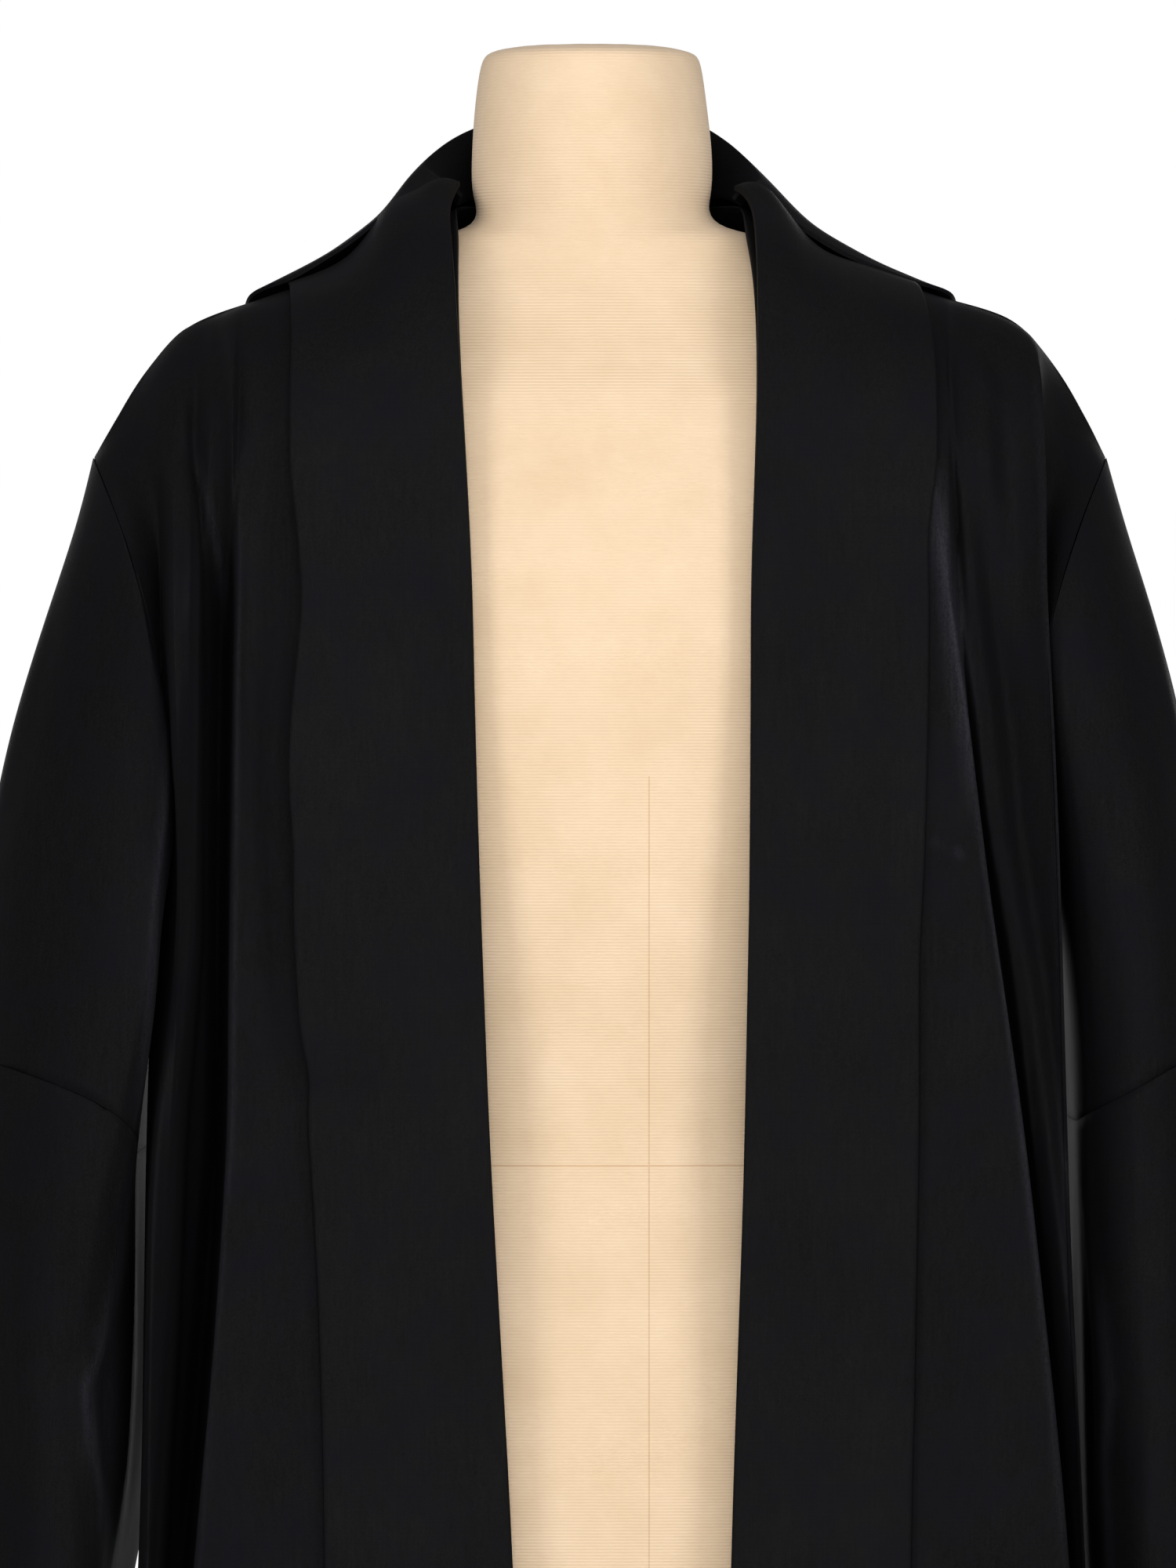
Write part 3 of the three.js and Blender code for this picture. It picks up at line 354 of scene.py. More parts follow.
@dataclass(frozen=True)
class FormJersey(Finish):
    """Cream cotton jersey, knitted in fine cross ribs and stretched over the form.

    Knitted cotton is matt, and its ribs catch the light as faint level lines.
    """

    light: str = "#d6bda0"
    dark: str = "#ccb292"
    seam: str = "#c9a985"
    roughness: float = 0.88
    sheen: float = 0.12
    sheen_roughness: float = 0.6
    specular: float = 0.25
    # Ribs are 0.9 mm apart. They are drawn 1.6 mm apart, so that they show.
    rib: float = 1.6
    # How many pale patches and tufts of fluff lie in a metre of jersey.
    patches: float = 22.0
    tufts: float = 900.0
    # The seam round the waist, the one down the front and where that one ends, and half their widths.
    waist_line: float = 997.0
    seam_line: float = 25.0
    seam_top: float = 1195.0
    waist_half: float = 0.5
    seam_half: float = 0.45
    seam_share: float = 0.35

    def make(self) -> Material:
        """Builds the material."""
        material, tree, shader = self.start()
        place = self.coordinates(tree)
        mottle = self.clouds(tree, place, self.patches, 5.0, 0.6)
        fluff = self.clouds(tree, place, self.tufts, 2.0)
        ribs = self.bands(tree, place, "Z", self.rib, 0.6)
        colour = self.ramp(tree, mottle, (0.25, self.dark), (0.7, self.light))
        lines = self.seam_lines(tree, place)
        darker = self.toned(tree, lines, colour.outputs[0], self.seam, "MULTIPLY")
        tree.links.new(darker.outputs[2], shader.inputs["Base Color"])
        fluff_bump = self.bump(tree, fluff.outputs[0], 0.15, 0.3)
        rib_bump = self.bump(tree, ribs.outputs[1], 0.55, 0.3, fluff_bump)
        tree.links.new(rib_bump.outputs[0], shader.inputs["Normal"])
        shader.inputs["Roughness"].default_value = self.roughness
        shader.inputs["Sheen Weight"].default_value = self.sheen
        shader.inputs["Sheen Roughness"].default_value = self.sheen_roughness
        shader.inputs["Specular IOR Level"].default_value = self.specular
        return material

    def seam_lines(self, tree: NodeTree, place: Node) -> Node:
        """The form's fine seams: one down its front and one round its waist.

        Args:
            tree: The material's node tree.
            place: Object coordinates.

        Returns:
            A node that gives the share of the seam's tone: none beside a seam.
        """
        axes = add_node(tree, "ShaderNodeSeparateXYZ", links={0: place.outputs[0]})
        front = ("X", self.seam_line, self.seam_half)
        waist = ("Z", self.waist_line, self.waist_half)
        in_front, round_waist = [
            self.maths(tree, "COMPARE", {0: axes.outputs[axis]}, {1: at * MM, 2: half * MM})
            for axis, at, half in (front, waist)
        ]
        below = self.maths(tree, "LESS_THAN", {0: axes.outputs["Z"]}, {1: self.seam_top * MM})
        upright = self.maths(tree, "MULTIPLY", {0: in_front.outputs[0], 1: below.outputs[0]})
        either = self.maths(tree, "MAXIMUM", {0: upright.outputs[0], 1: round_waist.outputs[0]})
        return self.maths(tree, "MULTIPLY", {0: either.outputs[0]}, {1: self.seam_share})


@dataclass(frozen=True)
class StandSteel(Finish):
    """Brushed stainless steel, satin: fine scratches break up its reflections."""

    tone: str = "#b9bcbf"
    roughness: tuple[float, float] = (0.24, 0.42)
    # Brush marks are 0.3 mm wide and 40 mm long.
    mark_width: float = 0.3
    mark_length: float = 40.0

    def make(self) -> Material:
        """Builds the material."""
        material, tree, shader = self.start()
        across = 1 / (self.mark_width * MM)
        place = self.coordinates(tree, (across, across, 1 / (self.mark_length * MM)))
        marks = self.clouds(tree, place, 1.0, 3.0)
        rough = self.spread(tree, marks, (0.3, 0.7), self.roughness)
        bump = self.bump(tree, marks.outputs[0], 0.12, 0.05)
        shader.inputs["Base Color"].default_value = linear(self.tone)
        shader.inputs["Metallic"].default_value = 1.0
        tree.links.new(rough.outputs[0], shader.inputs["Roughness"])
        tree.links.new(bump.outputs[0], shader.inputs["Normal"])
        return material


@dataclass(frozen=True)
class StudioPaper(Finish):
    """Matt white paper for the floor."""

    tone: str = "#f4f3f1"
    shade: str = "#efeeec"
    roughness: float = 0.9

    def make(self) -> Material:
        """Builds the material."""
        material, tree, shader = self.start()
        fibre = self.clouds(tree, self.coordinates(tree), 3.0, 3.0)
        tone = self.ramp(tree, fibre, (0.0, self.shade), (1.0, self.tone))
        tree.links.new(tone.outputs[0], shader.inputs["Base Color"])
        shader.inputs["Roughness"].default_value = self.roughness
        return material


def along_path(flat: np.ndarray, path: Sequence[tuple[float, float]]) -> tuple[np.ndarray, np.ndarray]:
    """How near points are to a path, and how far along it.

    Args:
        flat: Rows of two places.
        path: Corners of the path.

    Returns:
        The distance of each point, and its share of the way along the path.
    """
    near = np.full(len(flat), np.inf)
    place = np.zeros(len(flat))
    corners = np.array(path)
    lengths = np.linalg.norm(np.diff(corners, axis=0), axis=1)
    done = 0.0
    for start, end, length in zip(corners, corners[1:], lengths):
        along = end - start
        share = np.clip(((flat - start) @ along) / length ** 2, 0.0, 1.0)
        gap = np.linalg.norm(flat - start - share[:, None] * along, axis=1)
        closer = gap < near
        near = np.where(closer, gap, near)
        place = np.where(closer, (done + share * length) / lengths.sum(), place)
        done += length
    return near, place


def fade_ends(place: np.ndarray, start: float, power: float) -> np.ndarray:
    """Fades a crease or a streak out towards both of its ends.

    Args:
        place: Shares of the way along the path.
        start: How far into the half wave the path begins.
        power: How fast it fades; less keeps the ends blunt.

    Returns:
        1 in the middle, and less towards the ends.
    """
    return np.sin(np.pi * (start + (1 - 2 * start) * place)) ** power


def points_of(mesh: Mesh) -> np.ndarray:
    """The mesh's points as rows of x, y and z, in millimetres."""
    points = np.empty(len(mesh.vertices) * 3)
    mesh.vertices.foreach_get("co", points)
    return points.reshape(-1, 3) / MM


@dataclass(frozen=True)
class Crease:
    """A soft ridge or trough along a path of places, in millimetres.

    A place is (x, z) where the crease faces front or back, and (y, z) where it faces
    a side. A positive height is a ridge. Both ends fade out.
    """

    path: tuple[tuple[float, float], ...]
    width: float
    height: float
    facing: Facing = Facing.FRONT

    def push(self, points: np.ndarray) -> np.ndarray:
        """How the crease pushes points.

        Args:
            points: Rows of x, y and z, in millimetres.

        Returns:
            Rows of shifts, in millimetres.
        """
        way = np.array(self.facing.value)
        across = 0 if abs(way[1]) > 0.5 else 1
        near, place = along_path(points[:, (across, 2)], self.path)
        size = self.height * fade_ends(place, *CREASE_ENDS) * np.exp(-((near / self.width) ** 2))
        size *= np.clip((points @ way) / MIDDLE_FADE, 0.0, 1.0)
        return size[:, None] * way


@dataclass(frozen=True)
class Fold:
    """The edge of a fold in front: beyond it the cloth lies deeper, in millimetres.

    A beyond of 1 puts the deeper cloth at greater x, and -1 at lesser x. A drop below
    zero raises the cloth there instead, as a soft roll.
    """

    edge: tuple[tuple[float, float], ...]
    beyond: int
    drop: float
    reach: float
    lip: float = 1.5
    step: float = 3.0
    # Over this length the fold fades out at each end.
    ends: float = 40.0
    # Beyond its reach the fold comes back over this share of it.
    way_back: float = 0.5

    def push(self, points: np.ndarray) -> np.ndarray:
        """How the fold pushes points.

        Args:
            points: Rows of x, y and z, in millimetres.

        Returns:
            Rows of shifts, in millimetres.
        """
        places, heights = np.array(sorted(self.edge, key=lambda place: place[1])).T
        past = self.beyond * (points[:, 0] - np.interp(points[:, 2], heights, places))
        length = heights[-1] - heights[0]
        share = np.clip((points[:, 2] - heights[0]) / length, 0.0, 1.0)
        fade = np.clip(np.minimum(share, 1 - share) * length / self.ends, 0.0, 1.0)
        fade *= np.clip(-points[:, 1] / MIDDLE_FADE, 0.0, 1.0)
        down = np.clip(past / self.step, 0.0, 1.0)
        back = np.clip((past - self.reach) / (self.reach * self.way_back), 0.0, 1.0)
        size = self.drop * down ** 2 * (3 - 2 * down) * (1 - back)
        size -= self.lip * np.exp(-(((past + LIP_BEFORE) / LIP_WIDTH) ** 2))
        return (size * fade)[:, None] * np.array(Facing.BACK.value)


@dataclass(frozen=True)
class PaintedHighlight:
    """A streak in front where a highlight is painted into the cloth's colour, in millimetres."""

    path: tuple[tuple[float, float], ...]
    width: float
    strength: float = 1.0

    def amount(self, points: np.ndarray) -> np.ndarray:
        """How bright the streak is at points.

        Args:
            points: Rows of x, y and z, in millimetres.

        Returns:
            Shares from 0 to the streak's strength.
        """
        near, place = along_path(points[:, (0, 2)], self.path)
        shine = self.strength * fade_ends(place, *PAINTED_HIGHLIGHT_ENDS) * np.exp(-((near / self.width) ** 2))
        return np.where(points[:, 1] < 0, shine, 0.0)


@dataclass(frozen=True)
class Nudge:
    """A soft push of a small part of a piece to one side, in millimetres."""

    middle: tuple[float, float, float]
    reach: tuple[float, float, float]
    move: tuple[float, float, float]

    def push(self, points: np.ndarray) -> np.ndarray:
        """How the nudge pushes points.

        Args:
            points: Rows of x, y and z, in millimetres.

        Returns:
            Rows of shifts, in millimetres.
        """
        away = (points - np.array(self.middle)) / np.array(self.reach)
        return np.exp(-(away ** 2).sum(axis=1))[:, None] * np.array(self.move)


# How the loose edges of the two bands hang: height, shift from the middle, and how far they sink back.
LEFT_BAND_SWING = (
    (190, 0.0, 3.0), (788, 0.0, 3.2), (940, -0.5, 3.2), (1020, 0.5, 3.2), (1038, -1.5, 3.2),
    (1043, -2.5, 1.0), (1060, 1.2, -1.5), (1110, 1.0, -2.5), (1157, 0.0, -3.5), (1195, 3.2, -4.0),
    (1221, 2.7, -3.5), (1284, -2.2, -2.5), (1316, 0.0, -1.0), (1352, 3.6, 0.5), (1390, 2.4, 2.0),
    (1417, 0.6, 2.0), (1446, 0.0, 0.5),
)
RIGHT_BAND_SWING = (
    (190, 0.0, 3.0), (788, 0.0, 3.4), (880, 0.8, 3.4), (1029, -0.3, 3.2), (1105, -1.6, 3.2),
    (1150, 0.0, 3.4), (1219, 0.6, 3.4), (1280, 0.2, 3.4), (1320, -1.6, 3.2), (1352, 2.2, 3.0),
    (1403, 1.2, 2.0), (1423, 0.4, 1.0), (1446, 0.0, 0.5),
)


def band_swing(side: Side) -> Callable[[np.ndarray], np.ndarray]:
    """How a band's loose edge swings and sinks.

    Args:
        side: The side of the gown.

    Returns:
        A function from points to their shifts, in millimetres.
    """
    heights, swings, sinks = np.array(LEFT_BAND_SWING if side is Side.LEFT else RIGHT_BAND_SWING).T

    def shift(points: np.ndarray) -> np.ndarray:
        """Shifts of the points: full at the loose edge and none at the opening."""
        across = np.clip((np.abs(points[:, 0]) - BAND_ROOT) / BAND_REACH, 0.0, 1.0)
        swing = np.interp(points[:, 2], heights, swings) * across ** 2
        sink = np.interp(points[:, 2], heights, sinks) * across
        return np.stack([side.value * swing, sink, np.zeros_like(swing)], axis=1)

    return shift


# The corners of the neck turn outwards.
NECK_LEFT = Nudge((-68, 10, 1480), (12, 45, 12), (-4, 0, 4))
NECK_RIGHT = Nudge((66, 10, 1480), (12, 45, 12), (6, 0, 4))

# Creases of the pieces: those that the photograph shows, and their like on the hidden sides.
CREASES = {
    "front_left": (
        Crease(((-213, 1235), (-221, 1150), (-226, 1080), (-229, 1000), (-231, 900), (-232.5, 788),
                (-241, 640)), 8.0, 30.0),
        Fold(((-205, 1360), (-203, 1298), (-202.5, 1219), (-203, 1110), (-209, 1040), (-215, 975)), -1, -40.0,
             14.0, 0.0, 4.0, 70.0),
        Fold(((-184, 1450), (-184, 1400), (-185, 1330), (-188, 1290), (-195, 1262)), -1, -18.0, 15.0,
             0.0, 3.5, 80.0),
        NECK_LEFT,
        Fold(((-210, 1045), (-213, 975), (-216, 900), (-219, 850), (-222, 788), (-229, 700), (-244, 480),
              (-261, 190), (-265, 110)), -1, -56.0, 18.0, 0.0, 4.0, 70.0),
        Fold(((-184, 1320), (-185, 1271), (-186.5, 1110), (-188, 1009), (-192, 961), (-198, 882),
              (-205, 780)), -1, 9.0, 9.0, 1.8),
        Crease(((-201, 1404), (-206, 1380), (-205, 1352), (-200, 1320)), 5.0, -2.4),
        Crease(((-214, 1396), (-213, 1376), (-209, 1350)), 4.0, 1.8),
        Crease(((-222, 1385), (-224, 1362), (-221, 1335)), 4.5, -1.6),
        Crease(((-186, 1372), (-184, 1330), (-185, 1270), (-187, 1180)), 4.0, 2.2),
        Crease(((-171, 1440), (-170, 1395), (-168, 1345)), 6.0, -1.8),
        Crease(((-160, 1360), (-164, 1300), (-166, 1210), (-163, 1120), (-160, 1040)), 11.0, -6.5),
        Crease(((-176, 1090), (-172, 1030), (-176, 960)), 7.0, 1.4),
        Crease(((-168, 940), (-176, 880), (-172, 800)), 9.0, -1.4),
        Crease(((-150, 640), (-166, 560), (-160, 470)), 12.0, -2.0),
        Crease(((-205, 600), (-214, 500), (-224, 380)), 10.0, 1.8),
    ),
    "front_right": (
        Crease(((192, 1416), (202, 1402), (215, 1388)), 4.0, -2.6),
        Crease(((184, 1410), (197, 1398), (206, 1382)), 4.0, 1.6),
        Crease(((171, 1345), (176, 1300), (182, 1255), (188, 1210)), 3.5, 3.6),
        Fold(((173, 1345), (180, 1279), (187.5, 1223), (193, 1168), (206, 1092), (214.5, 1022), (223, 946),
              (231, 866), (238, 788), (247, 660)), 1, -16.0, 13.0, 1.6, 4.0, 110.0),
        Fold(((175.5, 1450), (176.5, 1400), (179, 1350), (183, 1300), (187, 1255)), 1, -12.0, 20.0,
             0.0, 4.0, 90.0),
        NECK_RIGHT,
        Crease(((223, 1408), (225, 1370), (227, 1310)), 3.5, 2.0),
        Crease(((233, 1392), (238, 1374), (238, 1352)), 3.0, -1.0),
        Crease(((228, 1386), (231, 1366), (231, 1342)), 3.0, 0.8),
        Crease(((168, 1160), (176, 1158.5), (184, 1156)), 2.2, -1.5),
        Crease(((190, 1160), (193, 1110), (202, 1050)), 7.0, -1.4),
        Crease(((182, 1000), (186, 920), (196, 850)), 10.0, 1.5),
        Crease(((180, 700), (196, 600), (204, 480)), 12.0, -2.0),
    ),
    "revers_left": (
        Nudge((-83, -13, 1496), (9, 16, 12), (1.0, 0, 7.0)),
        Nudge((-75, -13, 1495), (7, 16, 12), (4.0, 0, 1.0)),
        Crease(((-150, 1436), (-128, 1444), (-104, 1436)), 4.0, 1.4),
        Crease(((-146, 1424), (-124, 1430), (-100, 1422)), 4.0, -1.1),
        Crease(((-138, 1404), (-118, 1412), (-98, 1408)), 5.0, 0.9),
        Crease(((-142, 1350), (-146, 1290), (-140, 1230)), 8.0, 1.2),
        Crease(((-84, 1380), (-88, 1300), (-82, 1220)), 8.0, -0.9),
        Crease(((-132, 1120), (-128, 1060), (-134, 1000)), 8.0, -1.2),
        Crease(((-140, 1048), (-147, 1043), (-151, 1040)), 3.0, 2.2),
    ),
    "revers_right": (
        Nudge((83, -13, 1496), (9, 16, 12), (-1.0, 0, 7.0)),
        Nudge((75, -13, 1495), (7, 16, 12), (-4.0, 0, 1.0)),
        Crease(((150, 1430), (132, 1438), (112, 1434)), 4.0, 1.1),
        Crease(((146, 1416), (130, 1424), (110, 1420)), 4.0, -0.9),
        Crease(((96, 1370), (92, 1290), (96, 1200)), 9.0, 1.0),
        Crease(((150, 1300), (154, 1200), (148, 1100)), 9.0, -1.0),
        Crease(((90, 1040), (94, 960), (88, 880)), 9.0, 1.0),
    ),
    "sleeve_upper_left": (
        Nudge((-224, -84, 1175), (12, 28, 34), (4.5, 0, 0)),
        Crease(((-262, 1342), (-276, 1312), (-284, 1270)), 5.0, -1.6),
        Crease(((-256, 1330), (-268, 1296), (-274, 1250)), 5.0, 1.4),
        Crease(((-246, 1308), (-256, 1278), (-258, 1240)), 4.0, -1.2),
        Crease(((-236, 1282), (-243, 1256), (-244, 1220)), 4.0, 1.0),
        Crease(((-303, 1060), (-288, 1052), (-276, 1056)), 3.5, 1.8),
        Crease(((-306, 1052), (-292, 1040), (-278, 1036)), 3.0, -1.6),
        Crease(((-246, 1034), (-253, 1024), (-262, 1026)), 3.0, 1.4),
        Crease(((-262, 1190), (-270, 1130), (-262, 1070)), 12.0, -1.6),
        Crease(((-292, 1180), (-298, 1120), (-304, 1075)), 9.0, 1.4),
        Crease(((20, 1300), (45, 1240), (40, 1170)), 12.0, 2.0, Facing.LEFT),
        Crease(((-30, 1290), (-42, 1220), (-36, 1150)), 12.0, -2.0, Facing.LEFT),
    ),
    "sleeve_upper_right": (
        Nudge((243, -86, 1100), (14, 40, 80), (-4.0, 0, 0)),
        Crease(((262, 1340), (275, 1312), (282, 1270)), 5.0, -1.6),
        Crease(((254, 1328), (266, 1296), (272, 1250)), 5.0, 1.3),
        Crease(((244, 1306), (254, 1276), (256, 1236)), 4.0, -1.1),
        Crease(((300, 1070), (286, 1060), (272, 1062)), 3.5, 1.8),
        Crease(((302, 1060), (290, 1048), (276, 1045)), 3.0, -1.6),
        Crease(((264, 1190), (272, 1130), (264, 1070)), 12.0, -1.5),
        Crease(((-20, 1300), (-44, 1240), (-38, 1170)), 12.0, 2.0, Facing.RIGHT),
        Crease(((32, 1290), (44, 1220), (36, 1150)), 12.0, -2.0, Facing.RIGHT),
    ),
    "sleeve_lower_left": (
        Fold(((-237, 1006), (-240, 970), (-245, 936), (-251, 905), (-259, 886), (-256, 852), (-251, 828),
              (-249, 788), (-252, 740), (-256, 700)), 1, 14.0, 40.0, 5.0, 3.0, 20.0),
        Nudge((-240, 0, 740), (14, 300, 75), (-13.0, 0, 0)),
        Crease(((-262, 920), (-270, 884), (-266, 846), (-262, 812)), 5.0, -2.0),
        Crease(((-300, 1030), (-286, 1010), (-280, 986)), 4.0, -1.4),
        Crease(((-256, 1000), (-262, 984), (-260, 962)), 3.5, 1.2),
        Crease(((-286, 960), (-292, 890), (-284, 820)), 11.0, 1.8),
        Crease(((-310, 900), (-304, 830), (-312, 760)), 10.0, -1.6),
        Crease(((24, 980), (44, 900), (34, 810)), 13.0, 2.2, Facing.LEFT),
        Crease(((-34, 970), (-46, 880), (-38, 780)), 13.0, -2.2, Facing.LEFT),
    ),
    "sleeve_lower_right": (
        Nudge((246, -86, 950), (14, 40, 110), (-4.0, 0, 0)),
        Fold(((254, 960), (257, 905), (259, 880), (256, 846), (258, 806), (261, 750)), -1, 6.0, 30.0, 3.0),
        Crease(((268, 900), (274, 866), (268, 830)), 5.0, -1.6),
        Crease(((300, 1040), (286, 1022), (278, 1000)), 4.0, -1.4),
        Crease(((288, 960), (294, 890), (286, 820)), 11.0, 1.7),
        Crease(((-24, 980), (-44, 900), (-34, 810)), 13.0, 2.2, Facing.RIGHT),
        Crease(((34, 970), (46, 880), (38, 780)), 13.0, -2.2, Facing.RIGHT),
    ),
    "back": (
        NECK_LEFT,
        NECK_RIGHT,
        Crease(((-190, 1400), (-170, 1340), (-140, 1270)), 12.0, -2.4, Facing.BACK),
        Crease(((196, 1398), (172, 1330), (146, 1260)), 12.0, -2.2, Facing.BACK),
        Crease(((-60, 1330), (-66, 1220), (-58, 1100)), 14.0, 2.0, Facing.BACK),
        Crease(((40, 1320), (48, 1200), (40, 1080)), 14.0, 2.0, Facing.BACK),
        Crease(((-215, 1330), (-205, 1270), (-200, 1200)), 8.0, 1.8, Facing.BACK),
        Crease(((214, 1336), (206, 1270), (202, 1210)), 8.0, 1.8, Facing.BACK),
    ),
    "collar_back": (
        Crease(((-120, 1440), (-60, 1426), (0, 1420)), 9.0, 1.2, Facing.BACK),
        Crease(((130, 1420), (80, 1400), (30, 1396)), 9.0, -1.2, Facing.BACK),
    ),
}

# Painted highlights: lighter streaks painted along the edges of the folds in front.
PAINTED_HIGHLIGHTS = {
    "front_left": (
        PaintedHighlight(((-204, 1356), (-199, 1330), (-192, 1300), (-187, 1262)), 3.0, 0.35),
        PaintedHighlight(((-184, 1335), (-185, 1271), (-186.5, 1110), (-188, 1009), (-192, 961), (-198, 882), (-205, 780)),
            2.2, 0.45),
    ),
    "front_right": (
        PaintedHighlight(((170, 1352), (174, 1312), (179, 1272), (186, 1222), (191, 1180)), 5.0, 1.0),
        PaintedHighlight(((183, 1250), (193, 1165), (205, 1090), (213.5, 1020), (222, 945), (230, 865), (237, 788)),
            2.2, 0.5),
        PaintedHighlight(((222, 1404), (226, 1300), (232, 1200), (233, 1140), (235, 1055), (238, 880)), 2.0, 0.3),
        PaintedHighlight(((168, 1160), (176, 1158.5), (184, 1156)), 1.2, 0.9),
    ),
    "sleeve_upper_left": (
        PaintedHighlight(((-218, 1225), (-225, 1120), (-231, 1050), (-236, 1004)), 3.0, 0.5),
    ),
    "sleeve_lower_left": (
        PaintedHighlight(((-237, 1006), (-241, 970), (-246, 936), (-252, 905), (-260, 886), (-257, 852), (-252, 828),
             (-250, 788), (-253, 740)), 3.0, 0.7),
        PaintedHighlight(((-244, 925), (-248, 890), (-247, 850), (-243, 815)), 7.0, 0.7),
    ),
    "sleeve_lower_right": (
        PaintedHighlight(((254, 940), (257, 905), (259, 880), (256, 846), (258, 806), (261, 760)), 3.0, 0.8),
    ),
}


@dataclass
class ClothPiece:
    """One piece of the gown, laid over its solid's grid and creased from the tables."""

    node: str
    # Width and length of the cut, in millimetres.
    flat: tuple[float, float]
    held: str
    rests_on: tuple[str, ...]
    # Area of the cut shape, in square metres.
    area: float
    # Unevenness of the whole piece: height and spread of its slow waves.
    wave: float = 0.8
    wave_spread: float = 95.0
    # How often the grid is divided before the creases are laid on, and after.
    levels: int = 2
    last_levels: int = 1
    shift: Callable[[np.ndarray], np.ndarray] | None = None
    piece: Object | None = field(default=None, init=False)

    def build(self, frame: dict) -> None:
        """Makes the piece from its solid's mesh.
        """
        self.piece = copy_solid(frame, self.node, f"{self.node}_cloth")
        mesh = self.piece.data
        regrid(mesh)
        fit_smooth(self.piece)
        apply_subdivision(self.piece, self.levels)
        shorten_long_edges(mesh)
        self.lay_creases(mesh)
        finish_surface(self.piece, self.last_levels)
        self.lay_painted_highlights(self.piece.data)

    def lay_painted_highlights(self, mesh: Mesh) -> None:
        """Writes the painted highlights into the attribute that its finish reads.

        Args:
            mesh: The finished mesh.
        """
        points = points_of(mesh)
        shine = np.zeros(len(points))
        for painted_highlight in PAINTED_HIGHLIGHTS.get(self.node, ()):
            shine = np.maximum(shine, painted_highlight.amount(points))
        mesh.attributes.new(PAINTED_HIGHLIGHT_NAME, "FLOAT", "POINT").data.foreach_set("value", shine)

    def lay_creases(self, mesh: Mesh) -> None:
        """Pushes the points along the creases, the waves and the piece's own shift.

        Args:
            mesh: The dense mesh.
        """
        points = points_of(mesh)
        moves = np.zeros_like(points)
        for crease in CREASES[self.node]:
            moves += crease.push(points)
        swings = np.array([
            noise.noise(Vector((x, y, z * WAVE_DOWN)) / self.wave_spread) for x, y, z in points
        ])
        outward = points * np.array([1.0, 1.0, 0.0])
        outward /= np.maximum(np.linalg.norm(outward, axis=1), 1.0)[:, None]
        moves += outward * (swings * self.wave)[:, None]
        if self.shift:
            moves += self.shift(points)
        mesh.vertices.foreach_set("co", ((points + moves) * MM).ravel())
        mesh.update()

    def dress(self, material: Material) -> None:
        """Gives the piece its finish and says what it is.

        Args:
            material: The cloth's material.
        """
        self.piece.data.materials.clear()
        self.piece.data.materials.append(material)
        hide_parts(self.node)
        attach(self.piece, "root")
        log.info("%s: %d faces", self.piece.name, len(self.piece.data.polygons))


def copy_solid(frame: dict, node: str, name: str) -> Object:
    """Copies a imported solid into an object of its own.

    Args:
        node: The solid's name.
        name: Name of the copy.

    Returns:
        The copy, in its place.
    """
    solid = frame["nodes"][node]
    mesh = solid.data.copy()
    mesh.name = name
    piece = bpy.data.objects.new(name, mesh)
    bpy.context.scene.collection.objects.link(piece)
    piece.matrix_world = solid.matrix_world
    return piece


def regrid(mesh: Mesh, sharpness: float = FOLD_SHARPNESS) -> None:
    """Merges a solid's loose triangles and takes the diagonals out of its quads.

    Args:
        mesh: The copied mesh, changed in place.
        sharpness: How firmly the sharpest folds are held; rims are always held.
    """
    bm = bmesh.new()
    bm.from_mesh(mesh)
    bmesh.ops.remove_doubles(bm, verts=bm.verts, dist=SAME_POINT)
    bmesh.ops.join_triangles(
        bm,
        faces=bm.faces,
        angle_face_threshold=math.radians(JOIN_BEND),
        angle_shape_threshold=math.radians(JOIN_SKEW),
        topology_influence=JOIN_BY_NEIGHBOURS,
    )
    crease = bm.edges.layers.float.new("crease_edge")
    for edge in bm.edges:
        if len(edge.link_faces) != 2:
            continue
        angle = math.degrees(edge.calc_face_angle(0.0))
        width = min(side.calc_length() for face in edge.link_faces for side in face.edges)
        if angle > RIM_ANGLE and width < RIM_WIDTH:
            edge[crease] = 1.0
        elif angle > FOLD_ANGLE:
            edge[crease] = sharpness * min(1.0, (angle - FOLD_ANGLE) / (FULL_FOLD_ANGLE - FOLD_ANGLE))
    bm.to_mesh(mesh)
    bm.free()
    mesh.update()


def add_subdivision(piece: Object, levels: int) -> Modifier:
    """Adds a Subdivision modifier that shows and renders the same levels.

    Args:
        piece: The object.
        levels: How often it divides.

    Returns:
        The modifier.
    """
    modifier = piece.modifiers.new("smooth", "SUBSURF")
    modifier.levels = levels
    modifier.render_levels = levels
    return modifier


def fit_smooth(piece: Object, rounds: int = 3) -> None:
    """Moves the grid's points so that the smoothed surface passes through their old places.

    Args:
        piece: The object with its coarse grid.
        rounds: How often the fit is repeated.
    """
    goal = [vertex.co.copy() for vertex in piece.data.vertices]
    modifier = add_subdivision(piece, 2)
    for _ in range(rounds):
        bpy.context.view_layer.update()
        graph = bpy.context.evaluated_depsgraph_get()
        shown = piece.evaluated_get(graph).to_mesh()
        for index, vertex in enumerate(piece.data.vertices):
            vertex.co += (goal[index] - shown.vertices[index].co) * FIT_STEP
        piece.evaluated_get(graph).to_mesh_clear()
        piece.data.update()
    piece.modifiers.remove(modifier)


def make_active(piece: Object) -> None:
    """Deselects everything and makes the piece the active object."""
    bpy.ops.object.select_all(action="DESELECT")
    piece.select_set(True)
    bpy.context.view_layer.objects.active = piece


def apply_subdivision(piece: Object, levels: int) -> None:
    """Divides the piece and keeps the result.

    Args:
        piece: The object.
        levels: How often it is divided.
    """
    modifier = add_subdivision(piece, levels)
    make_active(piece)
    bpy.ops.object.modifier_apply(modifier=modifier.name)


